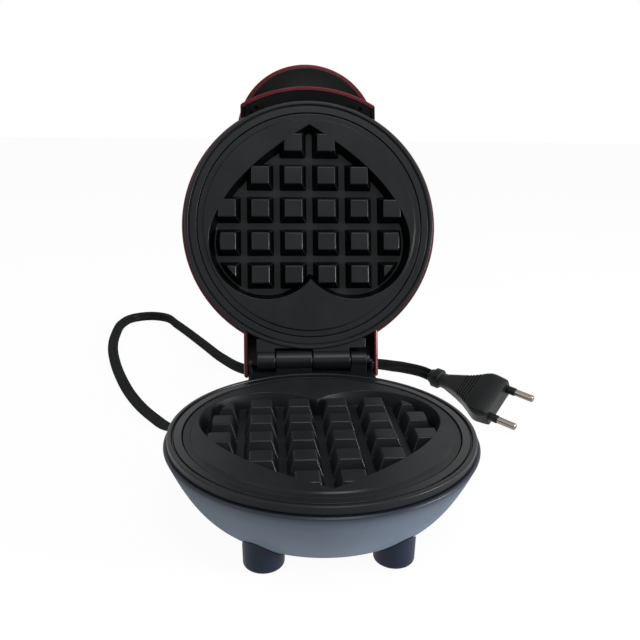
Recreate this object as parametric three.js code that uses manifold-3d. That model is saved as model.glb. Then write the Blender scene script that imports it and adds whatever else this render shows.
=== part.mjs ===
// Mini waffle and donut maker, open, with its mains lead.
// Millimetres, +Z up, the front of the object towards -Y.
// The base and the lid are built face up: the cooking face is at z = 0 and the body hangs below it.
// The lid is then turned over, hung on the hinge and swung open.

import * as THREE from 'three';
import { mergeVertices } from 'three/addons/utils/BufferGeometryUtils.js';
import Module from 'manifold-3d';

const wasm = await Module();
wasm.setup();

// Driving dimensions. Insets and outsets are measured from the rim's radius.

const body = {
  rimRadius: 62.8,
  plateHeight: 36,
  baseDepth: 31,
  lidDepth: 29,
  wall: 2.2,
  clear: 0.3,
  overrun: 2,
  closedGap: 2,
  openAngleDegrees: 107.3,
};

const plate = {
  edgeInset: 7.6,
  borderThickness: 4,
  pocketDepth: 6.5,
  pocketDraft: 2.4,
  floorThickness: 2.5,
  edgeStepInset: 11,
  edgeStepDrop: 0.6,
  bossWall: 0.5,
  bossTaper: 1.7,
  postRadius: 4.6,
  postCircle: 20,
  postDegrees: [90, 210, 330],
  postHoleDepth: 6,
};

const heart = {
  lobeRadius: 28.3,
  lobeAside: 21.4,
  lobeBack: 8.4,
  tipReach: 49.7,
  sideAside: 38.9,
  sideReach: 26.4,
  lobeEndDegrees: 20,
  lobeSteps: 10,
  sideSteps: 5,
};

const stud = {
  pitch: 16.3,
  topWidth: 8.44,
  draft: 2.4,
  edgeGap: 0.8,
  wallOverlap: 0.3,
};

const bezel = {
  seatInset: 7.3,
  seatDrop: 0.3,
  grooveInnerInset: 4.2,
  grooveDepth: 1,
  grooveBottomInnerInset: 3.9,
  grooveBottomOuterInset: 3.5,
  ridgeInnerInset: 3.2,
  ridgeOuterInset: 1.9,
  outerInset: 1.5,
  edgeEase: 0.4,
  sideHeight: 3,
  spigotOuterInset: 2.5,
  spigotInnerInset: 4.1,
  webDepth: 2.4,
  seatOuterInset: 5.5,
  shelfInnerInset: 10.5,
  shelfThickness: 2,
};

const shell = {
  lipInnerInset: 2.2,
  lipOuterInset: 0.7,
  lipDepth: 3.3,
  bulgeDepth: 4,
  upperBendInset: 5.9,
  upperBendDepth: 18,
  lowerBendInset: 12.8,
  floorInset: 22.8,
  sideSteps: 6,
};

const dome = {
  upperBendInset: 2.8,
  upperBendDepth: 18,
  lowerBendInset: 10.8,
  floorInset: 26.8,
  wall: 1.8,
};

const pan = {
  rimInset: 6.2,
  rimInnerInset: 8.2,
  floorInset: 14.8,
  thickness: 0.8,
  thermostatHole: 9,
};

const element = {
  tubeRadius: 3,
  ringRadius: 34,
  gapDegrees: 50,
  bendDegrees: 8,
  arcSteps: 22,
  steps: 40,
  sides: 8,
  endLength: 8,
  endBend: 5,
  coldPinRadius: 1.2,
  coldPinLength: 3,
};

const thermostat = {
  bodyRadius: 7.5,
  bodyHeight: 7,
  capRadius: 5.5,
  capHeight: 3,
  tabWidth: 4.8,
  tabThickness: 0.8,
  tabHeight: 6,
  tabAside: 4.2,
};

const fuse = {
  radius: 2,
  length: 12,
  leadRadius: 0.6,
  leadLength: 6,
  aside: 15,
};

const screw = {
  shankRadius: 1.5,
  holeRadius: 1.85,
  headRadius: 3,
  headHeight: 2.2,
  recessRadius: 1.2,
  recessDepth: 1.1,
  bite: 4.5,
  recessSides: 6,
};

const basePost = {
  radius: 4.6,
  counterboreRadius: 3.5,
  counterboreDepth: 4,
};

const hinge = {
  axisOutset: 3.7,
  axisRise: 4.7,
  barrelRadius: 4.7,
  pinRadius: 1.65,
  pinHoleRadius: 1.75,
  pinHead: 2.6,
  pinHeadLength: 1.2,
  seam: 0.45,
  baseInner: [-17.4, 0.2],
  baseOuter: [19.3, 27.2],
  lidInner: [0.65, 18.85],
  lidOuter: [-26.6, -17.85],
  blockHalf: 30.8,
  blockFrontInset: 12.8,
  blockBackOutset: 8.2,
  blockDrop: 0.6,
  blockDepth: 9,
  webFront: 3.5,
  earInner: 29,
  earRise: 4.4,
  earFront: 3,
  earBack: 3,
};

const panel = {
  half: 26.8,
  frontInset: 6.8,
  thickness: 2.2,
  drop: 0.8,
  slotReach: 5.9,
  slotSide: 0.6,
  flangeDepth: 9,
  flangeThickness: 1.4,
  flangeBackOutset: 1.2,
};

const tail = {
  half: 33,
  wall: 1.7,
  startInset: 28.8,
  endOutset: 12.2,
  edgeDrop: 0.6,
  depth: 19,
  rearTop: 10.6,
  frontDepth: 26,
  corner: 5,
};

const handle = {
  half: 34,
  startInset: 22.8,
  frontOutset: 2.5,
  frontCentre: 6,
  top: 7.5,
  depth: 20,
  wall: 2,
  lipRadius: 36,
  lipCentreInset: 11.8,
  lipTop: 19.2,
  lipThickness: 3,
  lipRoofDepth: 28,
  lipRoofRadius: 27,
  lipRoofCentreInset: 26.8,
  flangeThickness: 1.8,
  gripThickness: 1.3,
  gripInset: 1.4,
  gripFrontGap: 0.6,
  frontSteps: 10,
  lipSteps: 16,
};

const lidScrew = {
  aside: 26,
  forwardInset: 3.8,
  bossRadius: 3.2,
  bossDepth: 9,
};

const lens = {
  radius: 4,
  flangeRadius: 5.4,
  flangeThickness: 1,
  rise: 0.9,
  lampRadius: 2.4,
  lampLength: 7,
  lampNose: 2.4,
};

const foot = {
  aside: 23.6,
  forward: 38.6,
  back: 44,
  topRadius: 7.4,
  bottomRadius: 6.9,
  bottomEase: 2.4,
  easeSteps: 3,
  padRadius: 4.4,
  padThickness: 1.4,
  padProud: 0.6,
  screwRise: 5.2,
  screwTop: 8.2,
};

const relief = {
  angleDegrees: 135,
  height: 12.6,
  bossRadius: 6.2,
  bossProud: 1,
  bossInward: 6,
  flangeRadius: 5.4,
  flangeThickness: 1.6,
  collarRadius: 4.6,
  rootRadius: 4.4,
  rootStart: 6,
  tipRadius: 3.1,
  tipLength: 22,
  ribs: 5,
  ribGrooveDepth: 0.7,
  ribShare: 0.2,
};

const clamp = {
  width: 12,
  depth: 5,
  height: 8,
  inFromWall: 18,
};

const lead = {
  radius: 1.1,
  offFloor: 1.6,
  apart: 3,
  rise: 1.6,
  steps: 18,
  sides: 6,
};

const cord = {
  width: 6.8,
  thickness: 4.2,
  steps: 72,
  edgeSteps: 3,
  tableGap: 0.1,
};

const plug = {
  place: [98.1, 80.6],
  headingDegrees: -46.7,
  pitchDegrees: 5.6,
  leanDegrees: 36.2,
  noseHalf: 12.6,
  noseLength: 4,
  frontHalf: 13.4,
  shoulderBack: 8,
  shoulderHalf: 11.5,
  waistBack: 15,
  waistHalf: 7.7,
  rearHalf: 4.4,
  length: 28,
  thickness: 13,
  corner: 2,
  neckLength: 11,
  neckRadius: 4,
  collarBehind: 34.5,
  collarLength: 4.4,
  collarHalf: 5.6,
  collarRise: 4.6,
  ribs: 5,
  ribDepth: 0.5,
  ribWidth: 0.8,
  ribPitch: 1.6,
  ribsBehind: 10.7,
  pinSpacing: 19,
  pinLength: 19,
  pinRadius: 2,
  pinRoot: 5,
  sleeveLength: 8.9,
  sleeveRadius: 2.35,
  tipEase: 0.8,
};

// The lead's route seen from above, as places on the table with their rise above it, chosen by hand.
// It starts at the strain relief's tip and ends at the plug's neck.
const cordRoute = [
  [-59.2, 59.2, 8],
  [-64, 64.1, 4.6],
  [-68.6, 69, 1.2],
  [-73.4, 74.9, 0],
  [-80.8, 85.4, 0],
  [-89.8, 100, 0],
  [-100.1, 121, 0],
  [-110.2, 147, 0],
  [-118.9, 173.6, 0],
  [-127, 205, 0],
  [-131.4, 235, 0],
  [-131.9, 263, 0],
  [-126.5, 277, 0],
  [-113.4, 282.6, 0],
  [-100.2, 276.8, 0],
  [-89.7, 257.5, 0],
  [-78.3, 234.8, 0],
  [-64.4, 205.7, 0],
  [-50.8, 177.6, 0],
  [-36.6, 157, 0],
  [-17, 146.8, 0],
  [4, 150, 0],
  [15.5, 157, 0],
  [26.3, 163, 0],
  [37.6, 164.4, 0.2],
  [47.3, 158.8, 1.5],
  [52.2, 148.4, 4.4],
  [54.6, 137.5, 7.6],
  [58.4, 126.4, 10.7],
];

// Facets, and limits of the mesh work

const mergeTolerance = 1e-4;
const mitreLeastShare = 0.5;
const round = { large: 40, medium: 20, small: 12, tiny: 8 };

// Colours of the pieces

const colours = {
  bowl: { color: 0x4d5a68, roughness: 0.25, metalness: 0.3 },
  black: { color: 0x17191b, roughness: 0.5, metalness: 0 },
  red: { color: 0x5a1018, roughness: 0.3, metalness: 0.4 },
  nonStick: { color: 0x1c1e1f, roughness: 0.45, metalness: 0.3 },
  foot: { color: 0x222932, roughness: 0.5, metalness: 0 },
  rubber: { color: 0x141414, roughness: 0.9, metalness: 0 },
  steel: { color: 0xa5a8ac, roughness: 0.35, metalness: 1 },
  aluminised: { color: 0xb9bcc0, roughness: 0.4, metalness: 1 },
  ceramic: { color: 0xe4dfd2, roughness: 0.6, metalness: 0 },
  nickel: { color: 0xc0b8a4, roughness: 0.25, metalness: 1 },
  lens: { color: 0x8a1c12, roughness: 0.15, metalness: 0 },
  wire: { color: 0xd8d4c8, roughness: 0.7, metalness: 0 },
};

// Turning three.js geometry into solids and back

function closedMesh(geometry) {
  const bare = geometry.index ? geometry.toNonIndexed() : geometry.clone();
  bare.deleteAttribute('normal');
  bare.deleteAttribute('uv');
  const merged = mergeVertices(bare, mergeTolerance);
  const index = Array.from(merged.index.array);
  const kept = [];
  for (let i = 0; i < index.length; i += 3) {
    const [a, b, c] = [index[i], index[i + 1], index[i + 2]];
    if (a !== b && b !== c && c !== a) kept.push(a, b, c);
  }
  return { points: merged.attributes.position.array, faces: kept };
}

function signedVolume(points, faces) {
  const [a, b, c] = [new THREE.Vector3(), new THREE.Vector3(), new THREE.Vector3()];
  let volume = 0;
  for (let i = 0; i < faces.length; i += 3) {
    a.fromArray(points, 3 * faces[i]);
    b.fromArray(points, 3 * faces[i + 1]);
    c.fromArray(points, 3 * faces[i + 2]);
    volume += a.dot(b.cross(c));
  }
  return volume;
}

function solid(geometry) {
  const { points, faces } = closedMesh(geometry);
  if (signedVolume(points, faces) < 0) faces.reverse();
  const mesh = new wasm.Mesh({
    numProp: 3,
    vertProperties: new Float32Array(points),
    triVerts: new Uint32Array(faces),
  });
  return new wasm.Manifold(mesh);
}

function geometryOf(manifold) {
  const mesh = manifold.getMesh();
  const geometry = new THREE.BufferGeometry();
  const points = new Float32Array(mesh.vertProperties);
  geometry.setAttribute('position', new THREE.BufferAttribute(points, 3));
  geometry.setIndex(Array.from(mesh.triVerts));
  geometry.computeVertexNormals();
  return geometry;
}

function piece(name, manifold, look) {
  const mesh = new THREE.Mesh(geometryOf(manifold), new THREE.MeshStandardMaterial(look));
  mesh.name = name;
  return mesh;
}

function join(...parts) {
  return parts.reduce((whole, part) => whole.add(part));
}

function cut(whole, ...parts) {
  return parts.reduce((left, part) => left.subtract(part), whole);
}

// Simple shapes, each given by the faces it reaches

function box([x0, x1], [y0, y1], [z0, z1]) {
  const geometry = new THREE.BoxGeometry(x1 - x0, y1 - y0, z1 - z0);
  geometry.translate((x0 + x1) / 2, (y0 + y1) / 2, (z0 + z1) / 2);
  return solid(geometry);
}

function cone(x, y, bottomRadius, topRadius, [z0, z1], sides) {
  const geometry = new THREE.CylinderGeometry(topRadius, bottomRadius, z1 - z0, sides);
  geometry.rotateX(Math.PI / 2);
  geometry.translate(x, y, (z0 + z1) / 2);
  return solid(geometry);
}

function post(x, y, radius, span, sides = round.small) {
  return cone(x, y, radius, radius, span, sides);
}

function rod([x0, x1], y, z, radius, sides = round.small) {
  const geometry = new THREE.CylinderGeometry(radius, radius, x1 - x0, sides);
  geometry.rotateZ(Math.PI / 2);
  geometry.translate((x0 + x1) / 2, y, z);
  return solid(geometry);
}

function lathe(profile, sides = round.large) {
  const points = profile.map(([radius, height]) => new THREE.Vector2(radius, height));
  const geometry = new THREE.LatheGeometry(points, sides);
  geometry.rotateX(Math.PI / 2);
  return solid(geometry);
}

function ringLathe(profile, sides = round.large) {
  return lathe([...profile, profile[0]], sides);
}

function prism(outline, [z0, z1]) {
  const shape = new THREE.Shape(outline.map(([x, y]) => new THREE.Vector2(x, y)));
  const geometry = new THREE.ExtrudeGeometry(shape, { depth: z1 - z0, bevelEnabled: false });
  geometry.translate(0, 0, z0);
  return solid(geometry);
}

// A side profile of [y, z] points carried along X
function sideways(outline, [x0, x1]) {
  const shape = new THREE.Shape(outline.map(([y, z]) => new THREE.Vector2(y, z)));
  const geometry = new THREE.ExtrudeGeometry(shape, { depth: x1 - x0, bevelEnabled: false });
  const turn = new THREE.Matrix4().makeBasis(
    new THREE.Vector3(0, 1, 0),
    new THREE.Vector3(0, 0, 1),
    new THREE.Vector3(1, 0, 0),
  );
  geometry.applyMatrix4(turn);
  geometry.translate(x0, 0, 0);
  return solid(geometry);
}

// Two outlines with as many points each, joined by flat-sided walls
function loft(lower, z0, upper, z1) {
  const points = [
    ...lower.map(([x, y]) => [x, y, z0]),
    ...upper.map(([x, y]) => [x, y, z1]),
  ];
  const count = lower.length;
  const contour = (outline) => outline.map(([x, y]) => new THREE.Vector2(x, y));
  const faces = [];
  THREE.ShapeUtils.triangulateShape(contour(lower), []).forEach(([a, b, c]) => faces.push(c, b, a));
  THREE.ShapeUtils.triangulateShape(contour(upper), []).forEach(([a, b, c]) => {
    faces.push(a + count, b + count, c + count);
  });
  for (let i = 0; i < count; i++) {
    const next = (i + 1) % count;
    faces.push(i, next, next + count, i, next + count, i + count);
  }
  const geometry = new THREE.BufferGeometry();
  geometry.setAttribute('position', new THREE.Float32BufferAttribute(points.flat(), 3));
  geometry.setIndex(faces);
  return solid(geometry);
}

// An outline moved outwards by a distance, or inwards by a negative one
function offsetOutline(outline, distance) {
  const count = outline.length;
  return outline.map(([x, y], i) => {
    const before = outline[(i + count - 1) % count];
    const after = outline[(i + 1) % count];
    const into = new THREE.Vector2(x - before[0], y - before[1]).normalize();
    const out = new THREE.Vector2(after[0] - x, after[1] - y).normalize();
    const side = new THREE.Vector2(into.y + out.y, -into.x - out.x).normalize();
    const reach = distance / Math.max(side.dot(new THREE.Vector2(into.y, -into.x)), mitreLeastShare);
    return [x + side.x * reach, y + side.y * reach];
  });
}

function arcPoints(cx, cy, radius, fromDegrees, toDegrees, steps) {
  const points = [];
  for (let i = 0; i <= steps; i++) {
    const angle = THREE.MathUtils.degToRad(fromDegrees + ((toDegrees - fromDegrees) * i) / steps);
    points.push([cx + radius * Math.cos(angle), cy + radius * Math.sin(angle)]);
  }
  return points;
}

// A tube of round section along a curve, closed at both ends
function tube(curve, radius, steps, sides) {
  const shape = new THREE.Shape(arcPoints(0, 0, radius, 0, 360 - 360 / sides, sides - 1)
    .map(([x, y]) => new THREE.Vector2(x, y)));
  return solid(new THREE.ExtrudeGeometry(shape, { steps, bevelEnabled: false, extrudePath: curve }));
}

// Radii, and distances from the middle, that follow the rim

function insideRim(inset) {
  return body.rimRadius - inset;
}

function outsideRim(outset) {
  return body.rimRadius + outset;
}

const axisBack = outsideRim(hinge.axisOutset);
const spigotInner = insideRim(bezel.spigotInnerInset);
const spigotOuter = insideRim(bezel.spigotOuterInset);
const panelFront = insideRim(panel.frontInset);
const tailEnd = outsideRim(tail.endOutset);
const handleStart = insideRim(handle.startInset);
const lipCentre = insideRim(handle.lipCentreInset);

// The heart outline, tip towards -Y, run anticlockwise

function heartOutline() {
  const { lobeRadius, lobeAside, lobeBack, tipReach, sideAside, sideReach, lobeEndDegrees } = heart;
  const notchDegrees = THREE.MathUtils.radToDeg(Math.acos(-lobeAside / lobeRadius));
  const lobe = arcPoints(lobeAside, lobeBack, lobeRadius, -lobeEndDegrees, notchDegrees, heart.lobeSteps);
  const side = new THREE.QuadraticBezierCurve(
    new THREE.Vector2(0, -tipReach),
    new THREE.Vector2(sideAside, -sideReach),
    new THREE.Vector2(...lobe[0]),
  );
  const right = [...side.getPoints(heart.sideSteps).slice(0, -1).map((p) => [p.x, p.y]), ...lobe];
  const left = right.slice(1, -1).reverse().map(([x, y]) => [-x, y]);
  return [...right, ...left];
}

// The waffle studs: square frustums. The flush ones run into the pocket's wall where the heart cuts
// them. The free ones, out on the lobes, stand clear of it.

const flushStuds = [
  { row: -2.5, columns: [-0.5, 0.5] },
  { row: -1.5, columns: [-1.5, -0.5, 0.5, 1.5] },
  { row: -0.5, columns: [-2.5, -1.5, -0.5, 0.5, 1.5, 2.5] },
  { row: 0.5, columns: [-1.5, -0.5, 0.5, 1.5] },
  { row: 1.5, columns: [-1.5, -0.5, 0.5, 1.5] },
];

const freeStuds = [
  { row: 0.5, columns: [-2.5, 2.5] },
  { row: 1.5, columns: [-2.5, 2.5] },
];

function square(x, y, half) {
  return [[x - half, y - half], [x + half, y - half], [x + half, y + half], [x - half, y + half]];
}

// The studs of some rows, cut to a room that narrows from one inset at their foot to another on top
function studField(rows, footInset, topInset) {
  const half = stud.topWidth / 2;
  const foot = pocketFloor - plate.edgeStepDrop;
  const studs = rows.flatMap(({ row, columns }) => columns.map((column) => {
    const [x, y] = [column * stud.pitch, row * stud.pitch];
    return loft(square(x, y, half + stud.draft), foot, square(x, y, half), 0);
  }));
  const outline = heartOutline();
  const room = loft(offsetOutline(outline, -footInset), foot, offsetOutline(outline, -topInset), 0);
  return join(...studs).intersect(room);
}

function platePosts() {
  return plate.postDegrees.map((degrees) => {
    const angle = THREE.MathUtils.degToRad(degrees);
    return [plate.postCircle * Math.cos(angle), plate.postCircle * Math.sin(angle)];
  });
}

const pocketFloor = -plate.pocketDepth;
const plateUnderside = pocketFloor - plate.floorThickness;
const elementHeight = plateUnderside - body.clear - element.tubeRadius;
const postEnd = elementHeight - element.tubeRadius - body.clear;

function cookingPlate() {
  const { borderThickness, edgeStepDrop, pocketDraft } = plate;
  const radius = insideRim(plate.edgeInset);
  const edgeStepRadius = insideRim(plate.edgeStepInset);
  const outline = heartOutline();
  const disc = lathe([
    [0, -borderThickness],
    [radius, -borderThickness],
    [radius, -edgeStepDrop - edgeStepDrop],
    [radius - edgeStepDrop, -edgeStepDrop],
    [edgeStepRadius + edgeStepDrop, -edgeStepDrop],
    [edgeStepRadius, 0],
    [0, 0],
  ]);
  const bowlUnder = loft(
    offsetOutline(outline, plate.bossWall - plate.bossTaper),
    plateUnderside,
    offsetOutline(outline, plate.bossWall),
    -borderThickness + edgeStepDrop,
  );
  const flare = (pocketDraft * body.overrun) / plate.pocketDepth;
  const pocket = loft(
    offsetOutline(outline, -pocketDraft),
    pocketFloor,
    offsetOutline(outline, flare),
    body.overrun,
  );
  const freeFoot = pocketDraft + stud.edgeGap;
  const studs = [
    studField(flushStuds, pocketDraft - stud.wallOverlap, -stud.wallOverlap),
    studField(freeStuds, freeFoot, freeFoot + stud.draft),
  ];
  const postSpan = [postEnd, pocketFloor - edgeStepDrop];
  const posts = platePosts().map(([x, y]) => post(x, y, plate.postRadius, postSpan));
  const holes = platePosts().map(([x, y]) => post(
    x,
    y,
    screw.holeRadius,
    [postEnd - body.overrun, postEnd + plate.postHoleDepth],
    round.tiny,
  ));
  const casting = cut(join(disc, bowlUnder), pocket);
  return cut(join(casting, ...studs, ...posts), ...holes);
}

// The bezel ring: the plate's seat, its groove and ridge, and the spigot that enters the shell

const spigotDepth = shell.bulgeDepth + dome.wall - body.clear;
const shelfTop = -plate.borderThickness - body.clear;
const shelfBottom = shelfTop - bezel.shelfThickness;

function bezelRing() {
  const b = bezel;
  return ringLathe([
    [insideRim(b.seatInset), -b.seatDrop],
    [insideRim(b.grooveInnerInset), -b.seatDrop],
    [insideRim(b.grooveBottomInnerInset), -b.grooveDepth],
    [insideRim(b.grooveBottomOuterInset), -b.grooveDepth],
    [insideRim(b.ridgeInnerInset), 0],
    [insideRim(b.ridgeOuterInset), 0],
    [insideRim(b.outerInset), -b.edgeEase],
    [insideRim(b.outerInset), -b.sideHeight],
    [spigotOuter, -b.sideHeight],
    [spigotOuter, -spigotDepth],
    [spigotInner, -spigotDepth],
    [spigotInner, -b.webDepth],
    [insideRim(b.seatOuterInset), -b.webDepth],
    [insideRim(b.seatOuterInset), shelfBottom],
    [insideRim(b.shelfInnerInset), shelfBottom],
    [insideRim(b.shelfInnerInset), shelfTop],
    [insideRim(b.seatInset), shelfTop],
  ]);
}

// The round shells: a bulging side that bends into a flat floor

function sideCurve(form, depth, grow) {
  const curve = new THREE.CubicBezierCurve(
    new THREE.Vector2(body.rimRadius, -shell.bulgeDepth),
    new THREE.Vector2(insideRim(form.upperBendInset), -form.upperBendDepth),
    new THREE.Vector2(insideRim(form.lowerBendInset), -depth),
    new THREE.Vector2(insideRim(form.floorInset), -depth),
  );
  const steps = shell.sideSteps;
  return Array.from({ length: steps + 1 }, (_, i) => {
    const at = curve.getPoint(i / steps);
    const along = curve.getTangent(i / steps);
    return [at.x - along.y * grow, at.y + along.x * grow];
  });
}

function fullForm(form, depth, grow) {
  const side = sideCurve(form, depth, grow).reverse();
  return lathe([
    [0, -depth - grow],
    ...side,
    [insideRim(shell.lipOuterInset) + grow, -shell.lipDepth],
    [0, -shell.lipDepth],
  ]);
}

function hollowForm(form, depth) {
  const outer = sideCurve(form, depth, 0).reverse();
  const inner = sideCurve(form, depth, -body.wall).slice(1);
  return lathe([
    [0, -depth],
    ...outer,
    [insideRim(shell.lipOuterInset), -shell.lipDepth],
    [insideRim(shell.lipInnerInset), -shell.lipDepth],
    [insideRim(shell.lipInnerInset), -shell.bulgeDepth - body.wall],
    ...inner,
    [0, -depth + body.wall],
  ]);
}

// Screws, with the head's underside at the given height; down is the way the shank points

function screwSolid(x, y, headSeat, length, up = 1) {
  const span = (a, b) => (up > 0 ? [headSeat + a, headSeat + b] : [headSeat - b, headSeat - a]);
  const shank = post(x, y, screw.shankRadius, span(-screw.recessDepth / 2, length), round.tiny);
  const head = post(x, y, screw.headRadius, span(-screw.headHeight, 0), round.small);
  const recess = post(
    x,
    y,
    screw.recessRadius,
    span(-screw.headHeight - body.overrun, -screw.headHeight + screw.recessDepth),
    screw.recessSides,
  );
  return cut(join(shank, head), recess);
}

// The reflector pan behind the element

const panFloor = postEnd - body.clear;
const panUnder = panFloor - pan.thickness;

function reflectorPan(withThermostat) {
  const rimTop = shelfBottom - body.clear;
  const t = pan.thickness;
  const dish = lathe([
    [0, panUnder],
    [insideRim(pan.floorInset) + t, panUnder],
    [insideRim(pan.rimInnerInset) + t, rimTop - t],
    [insideRim(pan.rimInset), rimTop - t],
    [insideRim(pan.rimInset), rimTop],
    [insideRim(pan.rimInnerInset), rimTop],
    [insideRim(pan.floorInset), panFloor],
    [0, panFloor],
  ]);
  const through = [panUnder - body.overrun, panFloor + body.overrun];
  const holes = platePosts().map(([x, y]) => post(x, y, screw.holeRadius, through, round.tiny));
  if (withThermostat) holes.push(post(0, 0, pan.thermostatHole, through, round.medium));
  const slots = [-1, 1].map((side) => {
    const [x] = elementEnd(side);
    const room = element.tubeRadius + body.clear + body.clear;
    return box(
      [x - room, x + room],
      [elementEnd(side)[1] - room, elementEnd(side)[1] + room],
      through,
    );
  });
  return cut(dish, ...holes, ...slots);
}

// The tubular element: an open ring whose two ends turn down through the pan

function elementEnd(side) {
  const angle = THREE.MathUtils.degToRad(90 - (side * element.gapDegrees) / 2);
  return [element.ringRadius * Math.cos(angle), element.ringRadius * Math.sin(angle)];
}

function heatingElement() {
  const from = 90 + element.gapDegrees / 2;
  const to = 450 - element.gapDegrees / 2;
  const bent = element.bendDegrees;
  const arc = arcPoints(0, 0, element.ringRadius, from + bent, to - bent, element.arcSteps);
  const points = arc.map(([x, y]) => new THREE.Vector3(x, y, elementHeight));
  const [rightX, rightY] = elementEnd(1);
  const bottom = elementHeight - element.endLength;
  const bend = elementHeight - element.endBend / 2;
  points.unshift(new THREE.Vector3(-rightX, rightY, bend));
  points.unshift(new THREE.Vector3(-rightX, rightY, bottom));
  points.push(new THREE.Vector3(rightX, rightY, bend));
  points.push(new THREE.Vector3(rightX, rightY, bottom));
  const ring = tube(new THREE.CatmullRomCurve3(points), element.tubeRadius, element.steps, element.sides);
  const ends = [-1, 1].map((side) => {
    const [x, y] = elementEnd(side);
    const span = [bottom - element.coldPinLength, bottom + body.overrun];
    return post(x, y, element.coldPinRadius, span, round.tiny);
  });
  return join(ring, ...ends);
}

// Base pieces

function hingeBlock(grow) {
  const h = hinge;
  return box(
    [-h.blockHalf - grow, h.blockHalf + grow],
    [insideRim(h.blockFrontInset), outsideRim(h.blockBackOutset) + grow],
    [-h.blockDepth - grow, -h.blockDrop],
  );
}

// The lid is built face up and turned over about Y, so its spans along X are mirrored here
function turned([x0, x1]) {
  return [-x1, -x0];
}

function knuckle([x0, x1], radius = hinge.barrelRadius) {
  return rod([x0, x1], 0, 0, radius, round.medium);
}

function baseKnuckle(span) {
  const h = hinge;
  const barrel = knuckle(span).translate([0, axisBack, h.axisRise]);
  const web = box(
    span,
    [axisBack - h.webFront, axisBack + h.barrelRadius],
    [-h.blockDrop - h.seam, h.axisRise],
  );
  return join(barrel, web);
}

function baseEar(side) {
  const h = hinge;
  const span = side < 0 ? [-h.blockHalf, -h.earInner] : [h.earInner, h.blockHalf];
  return box(
    span,
    [axisBack - h.earFront, axisBack + h.earBack],
    [-h.blockDrop - h.seam, h.earRise],
  );
}

function baseBezel() {
  const h = hinge;
  const inside = post(0, 0, spigotInner, [-h.blockDepth - body.overrun, body.overrun], round.large);
  const block = cut(hingeBlock(0), inside);
  const pinHole = knuckle([-h.blockHalf, h.blockHalf], h.pinHoleRadius)
    .translate([0, axisBack, h.axisRise]);
  const whole = join(
    bezelRing(),
    block,
    baseKnuckle(h.baseInner),
    baseKnuckle(h.baseOuter),
    baseEar(-1),
    baseEar(1),
  );
  return cut(whole, pinHole);
}

function reliefFrame() {
  const group = new THREE.Object3D();
  const angle = THREE.MathUtils.degToRad(relief.angleDegrees);
  const depth = relief.height - body.plateHeight;
  const wallRadius = sideRadiusAt(depth);
  group.position.set(wallRadius * Math.cos(angle), wallRadius * Math.sin(angle), depth);
  group.rotation.set(0, 0, angle);
  group.updateMatrix();
  return group;
}

// The shell's outer radius at a height below the cooking face
function sideRadiusAt(z) {
  const side = sideCurve(shell, body.baseDepth, 0);
  const i = side.findIndex(([, height]) => height < z);
  const [r0, z0] = side[i - 1];
  const [r1, z1] = side[i];
  return r0 + ((r1 - r0) * (z - z0)) / (z1 - z0);
}

function outwards(geometry) {
  geometry.applyMatrix4(reliefFrame().matrix);
  return solid(geometry);
}

function alongExit(radius, [from, to], sides = round.small) {
  const geometry = new THREE.CylinderGeometry(radius, radius, to - from, sides);
  geometry.rotateZ(-Math.PI / 2);
  geometry.translate((from + to) / 2, 0, 0);
  return outwards(geometry);
}

function baseShell() {
  const postTop = panUnder - body.clear;
  const postSpan = [floorTop - body.wall / 2, postTop];
  const posts = platePosts().map(([x, y]) => post(x, y, basePost.radius, postSpan));
  const bores = platePosts().map(([x, y]) => post(
    x,
    y,
    screw.holeRadius,
    [-body.baseDepth - body.overrun, postTop + body.overrun],
    round.tiny,
  ));
  const sinks = platePosts().map(([x, y]) => post(
    x,
    y,
    basePost.counterboreRadius,
    [-body.baseDepth - body.overrun, -body.baseDepth + basePost.counterboreDepth],
  ));
  const footHoles = footPlaces().map(([x, y]) => post(
    x,
    y,
    screw.holeRadius,
    [-body.baseDepth - body.overrun, -shell.upperBendDepth],
    round.tiny,
  ));
  const exitBoss = alongExit(relief.bossRadius, [-relief.bossInward, relief.bossProud])
    .intersect(post(0, 0, body.rimRadius, [-body.baseDepth, 0], round.large));
  const exit = alongExit(relief.collarRadius + body.clear, [-clamp.inFromWall, clamp.inFromWall]);
  const flangeRoom = alongExit(relief.flangeRadius + body.clear, [-clamp.inFromWall, -relief.bossInward]);
  const shellBody = join(hollowForm(shell, body.baseDepth), exitBoss, ...posts);
  return cut(shellBody, hingeBlock(body.clear), ...bores, ...sinks, ...footHoles, exit, flangeRoom);
}

function footPlaces() {
  const across = [-foot.aside, foot.aside];
  return [-foot.forward, foot.back].flatMap((y) => across.map((x) => [x, y]));
}

const tableLevel = -body.plateHeight;

function footSolid(x, y) {
  const bottom = tableLevel + foot.padProud;
  const ease = arcPoints(
    foot.bottomRadius - foot.bottomEase,
    bottom + foot.bottomEase,
    foot.bottomEase,
    -90,
    0,
    foot.easeSteps,
  );
  const leg = lathe([
    [0, bottom],
    ...ease,
    [foot.topRadius, -shell.upperBendDepth],
    [0, -shell.upperBendDepth],
  ], round.medium).translate([x, y, 0]);
  const padTop = tableLevel + foot.padThickness + body.clear;
  const padRoom = post(x, y, foot.padRadius + body.clear, [bottom - body.overrun, padTop]);
  const headRoom = post(x, y, screw.headRadius + body.clear, [bottom, tableLevel + foot.screwRise]);
  const shankRoom = post(x, y, screw.holeRadius, [bottom, -shell.upperBendDepth], round.tiny);
  return cut(leg, fullForm(shell, body.baseDepth, body.clear), padRoom, headRoom, shankRoom);
}

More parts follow.
